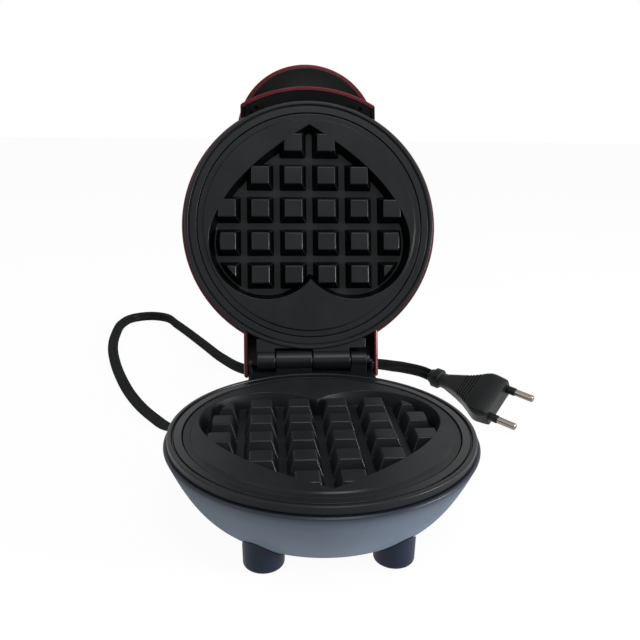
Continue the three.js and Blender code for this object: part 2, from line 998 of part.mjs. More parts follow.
function strainRelief() {
  const r = relief;
  const inner = -r.bossInward - body.clear;
  const flange = [
    [0, inner - r.flangeThickness],
    [r.flangeRadius, inner - r.flangeThickness],
    [r.flangeRadius, inner],
    [r.collarRadius, inner],
    [r.collarRadius, r.rootStart],
  ];
  const boot = [];
  const pitch = (r.tipLength - r.rootStart) / (r.ribs + 1);
  for (let i = 1; i <= r.ribs; i++) {
    const at = r.rootStart + i * pitch;
    const radius = THREE.MathUtils.lerp(r.rootRadius, r.tipRadius, at / r.tipLength);
    const half = pitch * r.ribShare;
    boot.push([radius, at - half]);
    boot.push([radius - r.ribGrooveDepth, at]);
    boot.push([radius, at + half]);
  }
  const profile = [...flange, ...boot, [r.tipRadius, r.tipLength], [0, r.tipLength]];
  const points = profile.map(([radius, height]) => new THREE.Vector2(radius, height));
  const geometry = new THREE.LatheGeometry(points, round.small);
  geometry.rotateZ(-Math.PI / 2);
  return outwards(geometry);
}

const floorTop = -body.baseDepth + body.wall;

function cordClamp() {
  const c = clamp;
  const geometry = new THREE.BoxGeometry(c.depth, c.width, c.height);
  const seat = floorTop + body.clear - (relief.height - body.plateHeight);
  geometry.translate(-c.inFromWall + c.depth / 2, 0, seat + c.height / 2);
  return outwards(geometry);
}

function thermostatSolid() {
  const t = thermostat;
  const top = plateUnderside - body.clear;
  const under = top - t.bodyHeight;
  const stages = lathe([
    [0, under - t.capHeight],
    [t.capRadius, under - t.capHeight],
    [t.capRadius, under],
    [t.bodyRadius, under],
    [t.bodyRadius, top],
    [0, top],
  ], round.medium);
  const tabs = [-1, 1].map((side) => box(
    [side * t.tabAside - t.tabThickness / 2, side * t.tabAside + t.tabThickness / 2],
    [-t.tabWidth / 2, t.tabWidth / 2],
    [under - t.capHeight - t.tabHeight, under - t.capHeight / 2],
  ));
  return join(stages, ...tabs);
}

function thermalFuseSolid() {
  const height = panUnder - body.clear - fuse.radius;
  const half = fuse.length / 2;
  const barrel = rod([-half, half], 0, 0, fuse.radius);
  const leads = rod([-half - fuse.leadLength, half + fuse.leadLength], 0, 0, fuse.leadRadius, round.tiny);
  return join(barrel, leads).translate([0, -fuse.aside, height]);
}

function wire(points) {
  const curve = new THREE.CatmullRomCurve3(points.map((p) => new THREE.Vector3(...p)));
  return tube(curve, lead.radius, lead.steps, lead.sides);
}

// Where the leads start: two places straight in from the clamp's inner face
function clampFace(aside) {
  const frame = reliefFrame().matrix;
  return [0, lead.apart].map((inwards) => {
    const at = new THREE.Vector3(-clamp.inFromWall - body.clear - inwards, aside, 0);
    at.applyMatrix4(frame);
    return [at.x, at.y, leadLow];
  });
}

const leadLow = floorTop + lead.offFloor;
const coldPinEnd = elementHeight - element.endLength - element.coldPinLength - body.clear;
const thermostatHeight = thermostat.bodyHeight + thermostat.capHeight + thermostat.tabHeight;
const tabEnd = plateUnderside - body.clear - thermostatHeight;
const tabSide = thermostat.tabAside + thermostat.tabThickness / 2 + body.clear + lead.radius;

function liveLead() {
  return wire([
    ...clampFace(lead.apart),
    [-tabSide - lead.apart, lead.apart, leadLow],
    [-tabSide, 0, tabEnd],
    [-tabSide, 0, tabEnd + lead.rise],
  ]);
}

function neutralLead() {
  const [x, y] = elementEnd(-1);
  return wire([
    ...clampFace(-lead.apart),
    [x - lead.apart, y, leadLow],
    [x, y, coldPinEnd - lead.rise],
    [x, y, coldPinEnd],
  ]);
}

function bridgeLead() {
  const [x, y] = elementEnd(1);
  return wire([
    [tabSide, 0, tabEnd + lead.rise],
    [tabSide, 0, tabEnd],
    [tabSide + lead.apart, lead.apart, leadLow],
    [x, y - lead.apart - lead.apart, leadLow + lead.offFloor],
    [x, y, coldPinEnd - lead.rise],
    [x, y, coldPinEnd],
  ]);
}

// The lid's pieces, face up

function handleFront(grow) {
  const h = handle;
  const half = h.half + grow;
  const radius = outsideRim(h.frontOutset) + grow;
  const spread = THREE.MathUtils.radToDeg(Math.asin(half / radius));
  const front = arcPoints(0, -h.frontCentre, radius, 270 - spread, 270 + spread, h.frontSteps);
  return [[-half, -handleStart], ...front, [half, -handleStart]];
}

function lipOutline(radius, centre) {
  return [...arcPoints(0, -centre, radius, 180, 360, handle.lipSteps)];
}

function handleOuter() {
  const h = handle;
  const block = prism(handleFront(0), [-h.depth, -h.top]);
  const lip = prism(lipOutline(h.lipRadius, lipCentre), [-h.lipTop - h.lipThickness, -h.lipTop]);
  const roof = loft(
    lipOutline(h.lipRoofRadius, insideRim(h.lipRoofCentreInset)),
    -h.lipRoofDepth,
    lipOutline(h.lipRadius, lipCentre),
    -h.lipTop - h.lipThickness,
  );
  return join(block, lip, roof);
}

function tailProfile(inset) {
  const t = tail;
  return [
    [insideRim(t.startInset), -t.edgeDrop + body.overrun * Math.sign(inset)],
    [tailEnd - inset, -t.edgeDrop + body.overrun * Math.sign(inset)],
    [tailEnd - inset, -t.depth + t.corner + inset / 2],
    [tailEnd - t.corner - inset / 2, -t.depth + inset],
    [insideRim(t.startInset), -t.frontDepth + inset],
  ];
}

function lidShell() {
  const outerTail = sideways(tailProfile(0), [-tail.half, tail.half]);
  const innerHalf = tail.half - tail.wall;
  const innerTail = sideways(tailProfile(tail.wall), [-innerHalf, innerHalf]);
  const rearDoor = box(
    [-innerHalf, innerHalf],
    [tailEnd - tail.wall - body.overrun, tailEnd + body.overrun],
    [-tail.rearTop, body.overrun],
  );
  const domeSolid = fullForm(dome, body.lidDepth, 0);
  const domeRoom = join(
    fullForm(dome, body.lidDepth, -dome.wall),
    post(0, 0, insideRim(shell.lipInnerInset), [-shell.bulgeDepth - dome.wall, body.overrun], round.large),
    post(0, 0, insideRim(bezel.outerInset) + body.clear, [-shell.lipDepth, body.overrun], round.large),
  );
  const h = handle;
  const handleRoom = prism(handleFront(-h.wall), [-h.depth + h.wall, body.overrun]);
  const outer = join(domeSolid, outerTail, handleOuter());
  const top = box(
    [-body.rimRadius - body.overrun, body.rimRadius + body.overrun],
    [-lipCentre - h.lipRadius, axisBack],
    [-shell.lipDepth, body.overrun],
  );
  const capped = cut(outer, top.subtract(sideways(tailProfile(0), [-tail.half, tail.half])));
  const hollow = cut(capped, domeRoom, innerTail, rearDoor, handleRoom);
  const lensHole = post(
    0,
    0,
    lens.radius + body.clear,
    [-body.lidDepth - body.overrun, -body.lidDepth + dome.wall + body.overrun],
  );
  const bosses = lidScrewPlaces().map(([x, y]) => post(
    x,
    y,
    lidScrew.bossRadius,
    [-h.depth + h.wall / 2, -h.top - h.flangeThickness - body.clear],
  ));
  const bossHoles = lidScrewPlaces().map(([x, y]) => post(
    x,
    y,
    screw.holeRadius,
    [-h.depth + h.wall + body.clear, -h.top],
    round.tiny,
  ));
  return cut(join(hollow, ...bosses), lensHole, ...bossHoles);
}

function lidScrewPlaces() {
  const y = -insideRim(lidScrew.forwardInset);
  return [[-lidScrew.aside, y], [lidScrew.aside, y]];
}

function lidLiner() {
  const p = panel;
  const h = hinge;
  const axisZ = -(h.axisRise - body.closedGap);
  const face = box([-p.half, p.half], [panelFront, axisBack], [-p.drop - p.thickness, -p.drop]);
  const flanges = [-1, 1].map((side) => {
    const outer = side * p.half;
    const inner = side * (p.half - p.flangeThickness);
    return box(
      [Math.min(outer, inner), Math.max(outer, inner)],
      [panelFront, outsideRim(p.flangeBackOutset)],
      [-p.flangeDepth, -p.drop],
    );
  });
  const slots = [h.baseInner, h.baseOuter].map(turned).map(([x0, x1]) => box(
    [x0 - p.slotSide, x1 + p.slotSide],
    [axisBack - p.slotReach, axisBack + h.barrelRadius + body.overrun],
    [-p.flangeDepth - body.overrun, h.barrelRadius],
  ));
  const inside = post(0, 0, spigotInner, [-p.flangeDepth - body.overrun, body.overrun], round.large);
  const axis = [0, axisBack, axisZ];
  const knuckles = [h.lidInner, h.lidOuter].map(turned).map((span) => knuckle(span).translate(axis));
  const pinHole = knuckle([-h.blockHalf, h.blockHalf], h.pinHoleRadius).translate(axis);
  const underHandle = handleFlange();
  const tailPart = join(cut(join(face, ...flanges), ...slots, inside), ...knuckles);
  return cut(join(bezelRing(), tailPart, underHandle), pinHole);
}

function handleFlange() {
  const h = handle;
  const outline = handleFront(-h.wall - body.clear);
  const plateSpan = [-h.top - h.flangeThickness, -h.top];
  const sheet = prism(outline, plateSpan);
  const inside = post(0, 0, spigotInner, [-h.top - body.overrun, body.overrun], round.large);
  const through = lidScrewPlaces().map(([x, y]) => post(
    x,
    y,
    screw.holeRadius,
    [-h.top - h.flangeThickness - body.overrun, -h.top + body.overrun],
    round.tiny,
  ));
  const skirt = prism(outline, [-h.top - h.flangeThickness, -bezel.sideHeight])
    .intersect(post(0, 0, spigotOuter, [-h.top - h.flangeThickness, -bezel.sideHeight], round.large));
  return cut(join(sheet, skirt), inside, ...through);
}

function handleGrip() {
  const h = handle;
  const top = -h.lipTop + h.gripThickness + body.clear;
  const span = [-h.lipTop + body.clear, top];
  const crescent = prism(lipOutline(h.lipRadius - h.gripInset, lipCentre), span);
  const behind = prism(handleFront(h.gripFrontGap), [span[0] - body.overrun, span[1] + body.overrun]);
  return cut(crescent, behind);
}

function indicatorLens() {
  const l = lens;
  const outside = -body.lidDepth;
  const inside = outside + dome.wall + body.clear;
  return lathe([
    [0, outside - l.rise],
    [l.radius - l.rise, outside - l.rise],
    [l.radius, outside],
    [l.radius, inside],
    [l.flangeRadius, inside],
    [l.flangeRadius, inside + l.flangeThickness],
    [0, inside + l.flangeThickness],
  ], round.medium);
}

function indicatorLamp() {
  const l = lens;
  const from = -body.lidDepth + dome.wall + body.clear + l.flangeThickness + body.clear;
  return lathe([
    [0, from],
    [l.lampRadius / 2, from],
    [l.lampRadius, from + l.lampNose / 2],
    [l.lampRadius, from + l.lampLength],
    [0, from + l.lampLength],
  ], round.small);
}

// The plug, built along +X with its pins ahead of x = 0, the broad face up

function plugOutline(inset) {
  const p = plug;
  const upper = [
    [0, p.noseHalf],
    [-p.noseLength, p.frontHalf],
    [-p.shoulderBack, p.shoulderHalf],
    [-p.waistBack, p.waistHalf],
    [-p.length, p.rearHalf],
  ];
  const lower = upper.map(([x, y]) => [x, -y]).reverse();
  return offsetOutline([...upper, ...lower], -inset);
}

// The body's room seen from the side: full height as far as the shoulder, then down to the neck
function plugSideRoom() {
  const p = plug;
  const half = p.thickness / 2;
  const upper = [[0, half], [-p.shoulderBack, half], [-p.length, p.rearHalf]];
  const lower = upper.map(([x, z]) => [x, -z]).reverse();
  return prism([...upper, ...lower], [-p.frontHalf, p.frontHalf]).rotate([90, 0, 0]);
}

function plugBody() {
  const p = plug;
  const half = p.thickness / 2;
  const core = prism(plugOutline(0), [-half + p.corner, half - p.corner]);
  const upper = loft(plugOutline(0), half - p.corner, plugOutline(p.corner), half);
  const lower = loft(plugOutline(p.corner), -half, plugOutline(0), -half + p.corner);
  const neck = rod([-p.length - p.neckLength, -p.length + p.corner], 0, 0, p.neckRadius);
  const collarStart = -p.collarBehind - p.collarLength / 2;
  const collar = rod([collarStart, collarStart + p.collarLength], 0, 0, p.collarHalf)
    .scale([1, 1, p.collarRise / p.collarHalf]);
  const fall = (half - p.rearHalf) / (p.length - p.shoulderBack);
  const grooves = [];
  for (let i = 0; i < p.ribs; i++) {
    const x = -p.ribsBehind - i * p.ribPitch;
    const bottom = half + (x + p.shoulderBack) * fall - p.ribDepth;
    const groove = box([x, x + p.ribWidth], [-p.frontHalf, p.frontHalf], [bottom, half + p.ribDepth]);
    grooves.push(groove, groove.mirror([0, 0, 1]));
  }
  const pinHoles = [-1, 1].map((side) => rod(
    [-p.pinRoot - body.clear, body.overrun],
    0,
    0,
    p.sleeveRadius + body.clear,
  ).translate([0, (side * p.pinSpacing) / 2, 0]));
  const grip = join(core, upper, lower).intersect(plugSideRoom());
  return cut(join(grip, neck, collar), ...grooves, ...pinHoles);
}

function plugPin(side) {
  const p = plug;
  const metal = [
    [0, -p.pinRoot],
    [p.pinRadius - body.clear, -p.pinRoot],
    [p.pinRadius - body.clear, p.sleeveLength],
    [p.pinRadius, p.sleeveLength + body.clear],
    [p.pinRadius, p.pinLength - p.tipEase],
    [p.pinRadius - p.tipEase, p.pinLength],
    [0, p.pinLength],
  ];
  const geometry = new THREE.LatheGeometry(metal.map(([r, h]) => new THREE.Vector2(r, h)), round.small);
  geometry.rotateZ(-Math.PI / 2);
  geometry.translate(0, (side * p.pinSpacing) / 2, 0);
  return solid(geometry);
}

function plugSleeve(side) {
  const p = plug;
  const y = (side * p.pinSpacing) / 2;
  const outside = rod([-p.pinRoot, p.sleeveLength - body.clear], y, 0, p.sleeveRadius);
  const bore = rod([-p.pinRoot - body.overrun, p.sleeveLength + body.overrun], y, 0, p.pinRadius);
  return cut(outside, bore);
}

// The plug as it lies, leaning over and nose down, lifted until its lowest point is just off the table
function plugGroup() {
  const group = new THREE.Group();
  group.add(piece('plug_body', plugBody(), colours.black));
  for (const [name, side] of [['left', 1], ['right', -1]]) {
    group.add(piece(`plug_pin_${name}`, plugPin(side), colours.nickel));
    group.add(piece(`plug_sleeve_${name}`, plugSleeve(side), colours.black));
  }
  const turns = [plug.leanDegrees, plug.pitchDegrees, plug.headingDegrees].map(THREE.MathUtils.degToRad);
  group.rotation.set(...turns, 'ZYX');
  const lowest = new THREE.Box3().setFromObject(group, true).min.z;
  group.position.set(...plug.place, cord.tableGap - lowest);
  group.updateMatrix();
  return group;
}

// The lead: a flat twin flex, standing on its narrow edge

function powerCord(plugMatrix) {
  const behindPlug = (distance) => {
    const back = plug.length + plug.neckLength + distance;
    return new THREE.Vector3(-back, 0, 0).applyMatrix4(plugMatrix);
  };
  const outOfRelief = (distance) => {
    const at = new THREE.Vector3(relief.tipLength + distance, 0, 0).applyMatrix4(reliefFrame().matrix);
    at.z += body.plateHeight;
    return at;
  };
  const lying = cord.width / 2 + cord.tableGap;
  const curve = new THREE.CatmullRomCurve3([
    outOfRelief(body.clear),
    outOfRelief(cord.thickness / 2),
    ...cordRoute.map(([x, y, rise]) => new THREE.Vector3(x, y, lying + rise)),
    behindPlug(cord.width),
    behindPlug(body.clear),
  ]);
  const [w, t] = [cord.width / 2, cord.thickness / 2];
  const outline = [
    ...arcPoints(w - t, 0, t, -90, 90, cord.edgeSteps),
    ...arcPoints(-w + t, 0, t, 90, 270, cord.edgeSteps),
  ];
  const shape = new THREE.Shape(outline.map(([x, y]) => new THREE.Vector2(x, y)));
  const options = { steps: cord.steps, bevelEnabled: false, extrudePath: curve };
  return solid(new THREE.ExtrudeGeometry(shape, options));
}

// Putting the base together

function baseGroup() {
  const group = new THREE.Group();
  group.position.z = body.plateHeight;
  group.add(piece('base_shell', baseShell(), colours.bowl));
  group.add(piece('base_bezel', baseBezel(), colours.black));
  group.add(piece('lower_plate', cookingPlate(), colours.nonStick));
  group.add(piece('lower_heating_element', heatingElement(), colours.steel));
  group.add(piece('lower_reflector', reflectorPan(true), colours.aluminised));
  group.add(piece('thermostat', thermostatSolid(), colours.ceramic));
  group.add(piece('thermal_fuse', thermalFuseSolid(), colours.nickel));
  const sinkTop = -body.baseDepth + basePost.counterboreDepth - body.clear;
  const reach = postEnd + screw.bite - sinkTop;
  platePosts().forEach(([x, y], i) => {
    group.add(piece(`base_screw_${i + 1}`, screwSolid(x, y, sinkTop, reach), colours.steel));
  });
  const footNames = ['front_left', 'front_right', 'rear_left', 'rear_right'];
  footPlaces().forEach(([x, y], i) => {
    const padTop = tableLevel + foot.padThickness;
    const seat = tableLevel + foot.screwRise - body.clear;
    const grip = -body.baseDepth + foot.screwTop - seat;
    group.add(piece(`foot_${footNames[i]}`, footSolid(x, y), colours.foot));
    const pad = post(x, y, foot.padRadius, [tableLevel, padTop]);
    group.add(piece(`foot_pad_${footNames[i]}`, pad, colours.rubber));
    group.add(piece(`foot_screw_${footNames[i]}`, screwSolid(x, y, seat, grip), colours.steel));
  });
  group.add(piece('strain_relief', strainRelief(), colours.black));
  group.add(piece('cord_clamp', cordClamp(), colours.black));
  group.add(piece('live_lead', liveLead(), colours.wire));
  group.add(piece('neutral_lead', neutralLead(), colours.wire));
  group.add(piece('bridge_lead', bridgeLead(), colours.wire));
  const pinSpan = [hinge.lidOuter[0], hinge.baseOuter[1]];
  const pin = knuckle(pinSpan, hinge.pinRadius);
  const headStart = pinSpan[1] + body.clear;
  const head = knuckle([headStart, headStart + hinge.pinHeadLength], hinge.pinHead);
  const neck = knuckle([pinSpan[1] - body.overrun, headStart + body.clear], hinge.pinRadius);
  const place = [0, axisBack, hinge.axisRise];
  group.add(piece('hinge_pin', join(pin, neck, head).translate(place), colours.steel));
  return group;
}

// Putting the lid together, face up, then over and open

function lidGroup() {
  const faceUp = new THREE.Group();
  faceUp.add(piece('lid_shell', lidShell(), colours.red));
  faceUp.add(piece('lid_liner', lidLiner(), colours.black));
  faceUp.add(piece('handle_grip', handleGrip(), colours.black));
  faceUp.add(piece('upper_plate', cookingPlate(), colours.nonStick));
  faceUp.add(piece('upper_heating_element', heatingElement(), colours.steel));
  faceUp.add(piece('upper_reflector', reflectorPan(false), colours.aluminised));
  faceUp.add(piece('indicator_lens', indicatorLens(), colours.lens));
  faceUp.add(piece('indicator_lamp', indicatorLamp(), colours.ceramic));
  platePosts().forEach(([x, y], i) => {
    const seat = panUnder - body.clear;
    const reach = postEnd + screw.bite - seat;
    faceUp.add(piece(`upper_plate_screw_${i + 1}`, screwSolid(x, y, seat, reach), colours.steel));
  });
  lidScrewPlaces().forEach(([x, y], i) => {
    const seat = -handle.top + body.clear;
    faceUp.add(piece(`lid_screw_${i + 1}`, screwSolid(x, y, seat, lidScrew.bossDepth, -1), colours.steel));
  });
  faceUp.rotation.y = Math.PI;
  faceUp.position.set(0, -axisBack, body.closedGap - hinge.axisRise);
  const swing = new THREE.Group();
  swing.position.set(0, axisBack, body.plateHeight + hinge.axisRise);
  swing.rotation.x = -THREE.MathUtils.degToRad(body.openAngleDegrees);
  swing.add(faceUp);
  return swing;
}

// The whole object, moved so that the middle of its footprint, its lead left out, is the origin

const appliance = new THREE.Group();
appliance.add(baseGroup(), lidGroup());
appliance.updateMatrixWorld(true);
const extent = new THREE.Box3().setFromObject(appliance, true);
const middle = (extent.min.y + extent.max.y) / 2;

const wafflemaker = new THREE.Group();
wafflemaker.position.set(0, -middle, 0);
const mainsPlug = plugGroup();
const mainsLead = piece('power_cord', powerCord(mainsPlug.matrix), colours.black);
wafflemaker.add(appliance, mainsPlug, mainsLead);

export default wafflemaker;
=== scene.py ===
# Mini waffle and donut maker, open, with its mains lead: the dressed model.
# Shapes are made in millimetres in their own space, and turn into metres when they are placed.
# The base and the lid are drawn face up: the cooking face is at z = 0 and the body hangs below it.

import cmath
import math
from functools import partial
from types import SimpleNamespace as Sizes

import bmesh
import bpy
import numpy as np
from mathutils import Matrix, Vector


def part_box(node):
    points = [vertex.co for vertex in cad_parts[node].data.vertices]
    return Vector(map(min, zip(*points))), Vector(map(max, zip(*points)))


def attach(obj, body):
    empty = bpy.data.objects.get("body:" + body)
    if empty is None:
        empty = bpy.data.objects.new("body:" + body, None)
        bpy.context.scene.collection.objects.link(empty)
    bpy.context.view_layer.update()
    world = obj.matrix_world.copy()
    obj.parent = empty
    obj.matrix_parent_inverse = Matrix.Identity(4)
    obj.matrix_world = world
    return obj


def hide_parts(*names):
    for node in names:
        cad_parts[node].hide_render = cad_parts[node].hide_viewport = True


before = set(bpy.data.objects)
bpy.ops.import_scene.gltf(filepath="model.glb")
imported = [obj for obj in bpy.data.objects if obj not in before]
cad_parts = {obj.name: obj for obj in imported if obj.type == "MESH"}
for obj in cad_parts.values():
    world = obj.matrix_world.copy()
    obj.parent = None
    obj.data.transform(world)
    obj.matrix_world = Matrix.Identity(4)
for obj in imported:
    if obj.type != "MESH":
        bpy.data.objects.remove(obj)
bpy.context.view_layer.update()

# Sizes of the object, in millimetres

body = Sizes(
    rim_radius=62.8, plate_height=36.0, clear=0.3, overrun=2.0, closed_gap=2.0, open_degrees=107.3,
)
plate = Sizes(
    radius=55.2, border_thickness=4.0, pocket_depth=6.5, draft=2.4, floor_thickness=2.5,
    step_radius=51.8, step_drop=0.6, step_edge=0.35, boss_wall=0.5, boss_taper=1.7,
    outer_edge=0.5, lower_edge=0.3, edge=0.35, floor_fillet=0.5, lead_in=3.0,
    post_radius=4.6, post_circle=20.0, post_degrees=(90.0, 210.0, 330.0),
    post_length=6.9, post_sunk=0.6, side_tilt=(0.2, 0.42),
)
heart = Sizes(
    lobe_radius=28.3, lobe_aside=21.4, lobe_back=8.4, lobe_end_degrees=20.0,
    tip_reach=49.7, side_aside=38.9, side_reach=26.4, steps=(56, 36), clip_steps=(51, 33),
)
stud = Sizes(
    pitch=16.3, top_width=8.44, draft=2.4, edge_gap=0.8, edge=0.55,
    sunk=0.6, below_top=0.03, overlap=0.05, clip_rise=0.01,
)
bezel = Sizes(
    seat_radius=55.5, seat_drop=0.3, seat_outer=57.3, web_depth=2.4,
    groove_inner=58.6, groove_depth=1.0, groove_bottom_inner=58.9, groove_bottom_outer=59.3,
    ridge_inner=59.6, ridge_outer=60.9, outer_radius=61.3, edge_ease=0.4, side_height=3.0,
    spigot_outer=60.3, spigot_inner=58.7, shelf_inner=52.3, shelf_thickness=2.0,
)
shell = Sizes(
    lip_inner=60.6, lip_outer=62.1, lip_depth=3.3, bulge_depth=4.0,
    upper_bend_radius=56.9, upper_bend_depth=18.0, lower_bend_radius=50.0, floor_radius=40.0,
    wall=2.2, depth=31.0,
)
dome = Sizes(
    upper_bend_radius=60.0, upper_bend_depth=18.0, lower_bend_radius=52.0, floor_radius=36.0,
    wall=1.8, depth=29.0,
)
base_post = Sizes(radius=4.6, bore=1.85, counterbore=3.5, counterbore_depth=4.0, top=-20.4)
hinge = Sizes(
    axis_back=66.5, axis_rise=4.7, barrel_radius=4.7, end_radius=3.9, pin_hole_radius=1.75,
    seam=0.45, edge=0.45, block_edge=0.6, web_edge=0.3,
    base_inner=(-17.4, 0.2), base_outer=(19.3, 27.2),
    lid_inner=(0.65, 18.85), lid_outer=(-26.6, -17.85),
    block_half=30.8, block_front=50.0, block_back=71.0, block_drop=0.6, block_depth=9.0,
    web_front=3.5, ear_inner=29.0, ear_rise=4.4, ear_reach=3.0,
)
panel = Sizes(
    half=26.8, front=56.0, thickness=2.2, drop=0.8, slot_reach=5.9, slot_side=0.6, edge=0.3,
    flange_depth=9.0, flange_thickness=1.4, flange_back=64.0, flange_sunk=0.1,
)
tail = Sizes(
    half=33.0, wall=1.7, start=34.0, end=75.0, edge_drop=0.6, depth=19.0, rear_top=10.6,
    front_depth=26.0, corner=5.0, edge=1.4,
)
handle = Sizes(
    half=34.0, start=40.0, front_radius=65.3, front_centre=6.0, top=7.5, depth=20.0, wall=2.0,
    lip_radius=36.0, lip_centre=51.0, lip_top=19.2, lip_thickness=3.0,
    roof_depth=28.0, roof_radius=27.0, roof_centre=36.0, roof_sunk=0.4, roof_inset=0.6,
    flange_thickness=1.8, grip_thickness=1.3, grip_inset=2.6, grip_front_gap=0.6, grip_edge=0.4,
    trim_front=60.4, trim_back=49.0, trim_inset=0.3, trim_rise=0.25, steps=48, edge=0.7,
)
lid_screw = Sizes(aside=26.0, forward=59.0, boss_radius=3.2, hole_radius=1.85)
lens = Sizes(radius=4.0, flange_radius=5.4, flange_thickness=1.0, rise=0.9, crown_inset=0.2, edge=0.8)
foot = Sizes(
    aside=23.6, forward=38.6, back=44.0, top_radius=7.9, bottom_radius=7.5, bottom_ease=1.3,
    pad_radius=4.4, pad_thickness=1.4, pad_proud=0.6, screw_room=3.3, screw_rise=5.2,
)
relief = Sizes(
    degrees=135.0, height=12.6, boss_radius=6.2, boss_proud=1.0, boss_inward=6.0,
    flange_radius=5.4, flange_thickness=1.6, collar_radius=4.6, root_radius=4.4, root_start=6.0,
    tip_radius=3.1, tip_length=22.0, ribs=5, groove_depth=0.7, groove_share=0.2, cut_reach=18.0,
)
cord = Sizes(
    width=6.8, thickness=4.2, steps=520, core_steps=36, groove_share=0.8, table_gap=0.1,
    twist_length=60.0, lying_span=(0.0, 40.0, 200.0, 290.0), lying_lean=14.0,
)
plug = Sizes(
    place=(98.1, 80.6), rise=11.6, heading=-46.7, pitch=5.6, lean=36.2, length=39.0,
    rib_first=-10.3, rib_pitch=1.6, rib_half=0.5, rib_depth=0.8, ribs=5, nose_reach=4.0,
    pin_spacing=19.0, pin_length=19.0, pin_radius=1.85, pin_root=5.0, pin_tip_share=0.95,
    sleeve_length=8.9, sleeve_radius=2.15, sleeve_gap=0.1,
)

# Sides of a round form, by its size
ROUND, LEG_ROUND, SMALL_ROUND, PIN_ROUND, HOLE_ROUND = 192, 96, 64, 48, 32
SHARP_DEGREES, BEVEL_DEGREES = 32.0, 30.0
# The most of a straight side that the arc at one of its ends takes up
LONGEST_SHARE = 0.49
SQUARE = ((-1, -1), (1, -1), (1, 1), (-1, 1))
CORNERS = ("front_left", "front_right", "rear_left", "rear_right")

# Spaces: millimetres to metres, and each assembly's own place in the frame

METRES = Matrix.Diagonal((0.001, 0.001, 0.001, 1.0))
MILLIMETRES = 1000.0


def shift(x, y, z):
    return Matrix.Translation((x, y, z))


def turn(degrees, axis):
    return Matrix.Rotation(math.radians(degrees), 4, axis)


plate_low, plate_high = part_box("lower_plate")
base_centre = (plate_low.y + plate_high.y) / 2 * MILLIMETRES
TABLE = METRES @ shift(0, base_centre, 0)
BASE = TABLE @ shift(0, 0, body.plate_height)
LID = (
    BASE
    @ shift(0, hinge.axis_back, hinge.axis_rise)
    @ turn(-body.open_degrees, "X")
    @ shift(0, -hinge.axis_back, body.closed_gap - hinge.axis_rise)
    @ turn(180, "Y")
)

# Camera, fitted to the base, its feet and the plug in the photograph

view = Sizes(
    place=(-22.011, -288.455, 153.297), azimuth=-4.636, elevation=15.985, roll=0.773,
    lens=38.827, sensor=36.0, nearest=0.01,
)


def put_in_scene(name, data):
    made = bpy.data.objects.new(name, data)
    bpy.context.scene.collection.objects.link(made)
    return made


def make_camera():
    data = bpy.data.cameras.new("camera")
    data.lens = view.lens
    data.sensor_width = view.sensor
    data.sensor_fit = "HORIZONTAL"
    data.clip_start = view.nearest
    camera = put_in_scene("camera", data)
    camera.matrix_world = (
        Matrix.Translation(Vector(view.place) / MILLIMETRES)
        @ turn(view.azimuth, "Z")
        @ turn(90 - view.elevation, "X")
        @ turn(view.roll, "Z")
    )
    bpy.context.scene.camera = camera


make_camera()

# Materials

MOTTLE_DETAIL, GRAIN_DETAIL, GRAIN_STRENGTH = 4.0, 5.0, 0.35
NOISE_SPAN = (0.3, 0.7)


def linear(red, green, blue):
    """A screen colour of 0 to 255 as the linear colour that a shader takes."""
    def channel(value):
        value /= 255
        return value / 12.92 if value <= 0.04045 else ((value + 0.055) / 1.055) ** 2.4
    return (channel(red), channel(green), channel(blue), 1.0)


def node(tree, kind, inputs=(), **settings):
    """A new node, with its settings, and its inputs set to values or wired to sockets."""
    made = tree.nodes.new("ShaderNode" + kind)
    for name, value in settings.items():
        setattr(made, name, value)
    for name, value in dict(inputs).items():
        if isinstance(value, bpy.types.NodeSocket):
            tree.links.new(value, made.inputs[name])
        else:
            made.inputs[name].default_value = value
    return made


def own_place(tree):
    """The place on the object, in its own metres, so that a grain keeps its real size."""
    return node(tree, "TexCoord").outputs["Object"]


def noise(tree, scale, detail):
    inputs = {"Vector": own_place(tree), "Scale": scale, "Detail": detail}
    return node(tree, "TexNoise", inputs).outputs["Fac"]


def ramp(tree, source, stops):
    """Colour by a run of (place, screen colour) stops."""
    made = node(tree, "ValToRGB", {"Fac": source})
    elements = made.color_ramp.elements
    while len(elements) < len(stops):
        elements.new(0.5)
    for element, (at, colour) in zip(elements, stops):
        element.position = at
        element.color = linear(*colour)
    return made.outputs["Color"]


def remap(tree, source, span, result=(0.0, 1.0)):
    return node(tree, "MapRange", {
        "Value": source, "From Min": span[0], "From Max": span[1],
        "To Min": result[0], "To Max": result[1],
    }).outputs["Result"]


def rise_of(tree, low, high):
    """0 to 1 between two heights of the object as it stands open, in millimetres."""
    parts = node(tree, "SeparateXYZ", {"Vector": own_place(tree)})
    return remap(tree, parts.outputs["Z"], (low / MILLIMETRES, high / MILLIMETRES))


def away_from(tree, centre, stretch, reach):
    """0 at a place on the object to 1 at a distance from it, in millimetres."""
    mapping = node(tree, "Mapping", {
        "Vector": own_place(tree),
        "Scale": [s * MILLIMETRES / reach for s in stretch],
        "Location": [-c * s / reach for c, s in zip(centre, stretch)],
    })
    length = node(tree, "VectorMath", {0: mapping.outputs["Vector"]}, operation="LENGTH")
    return length.outputs["Value"]


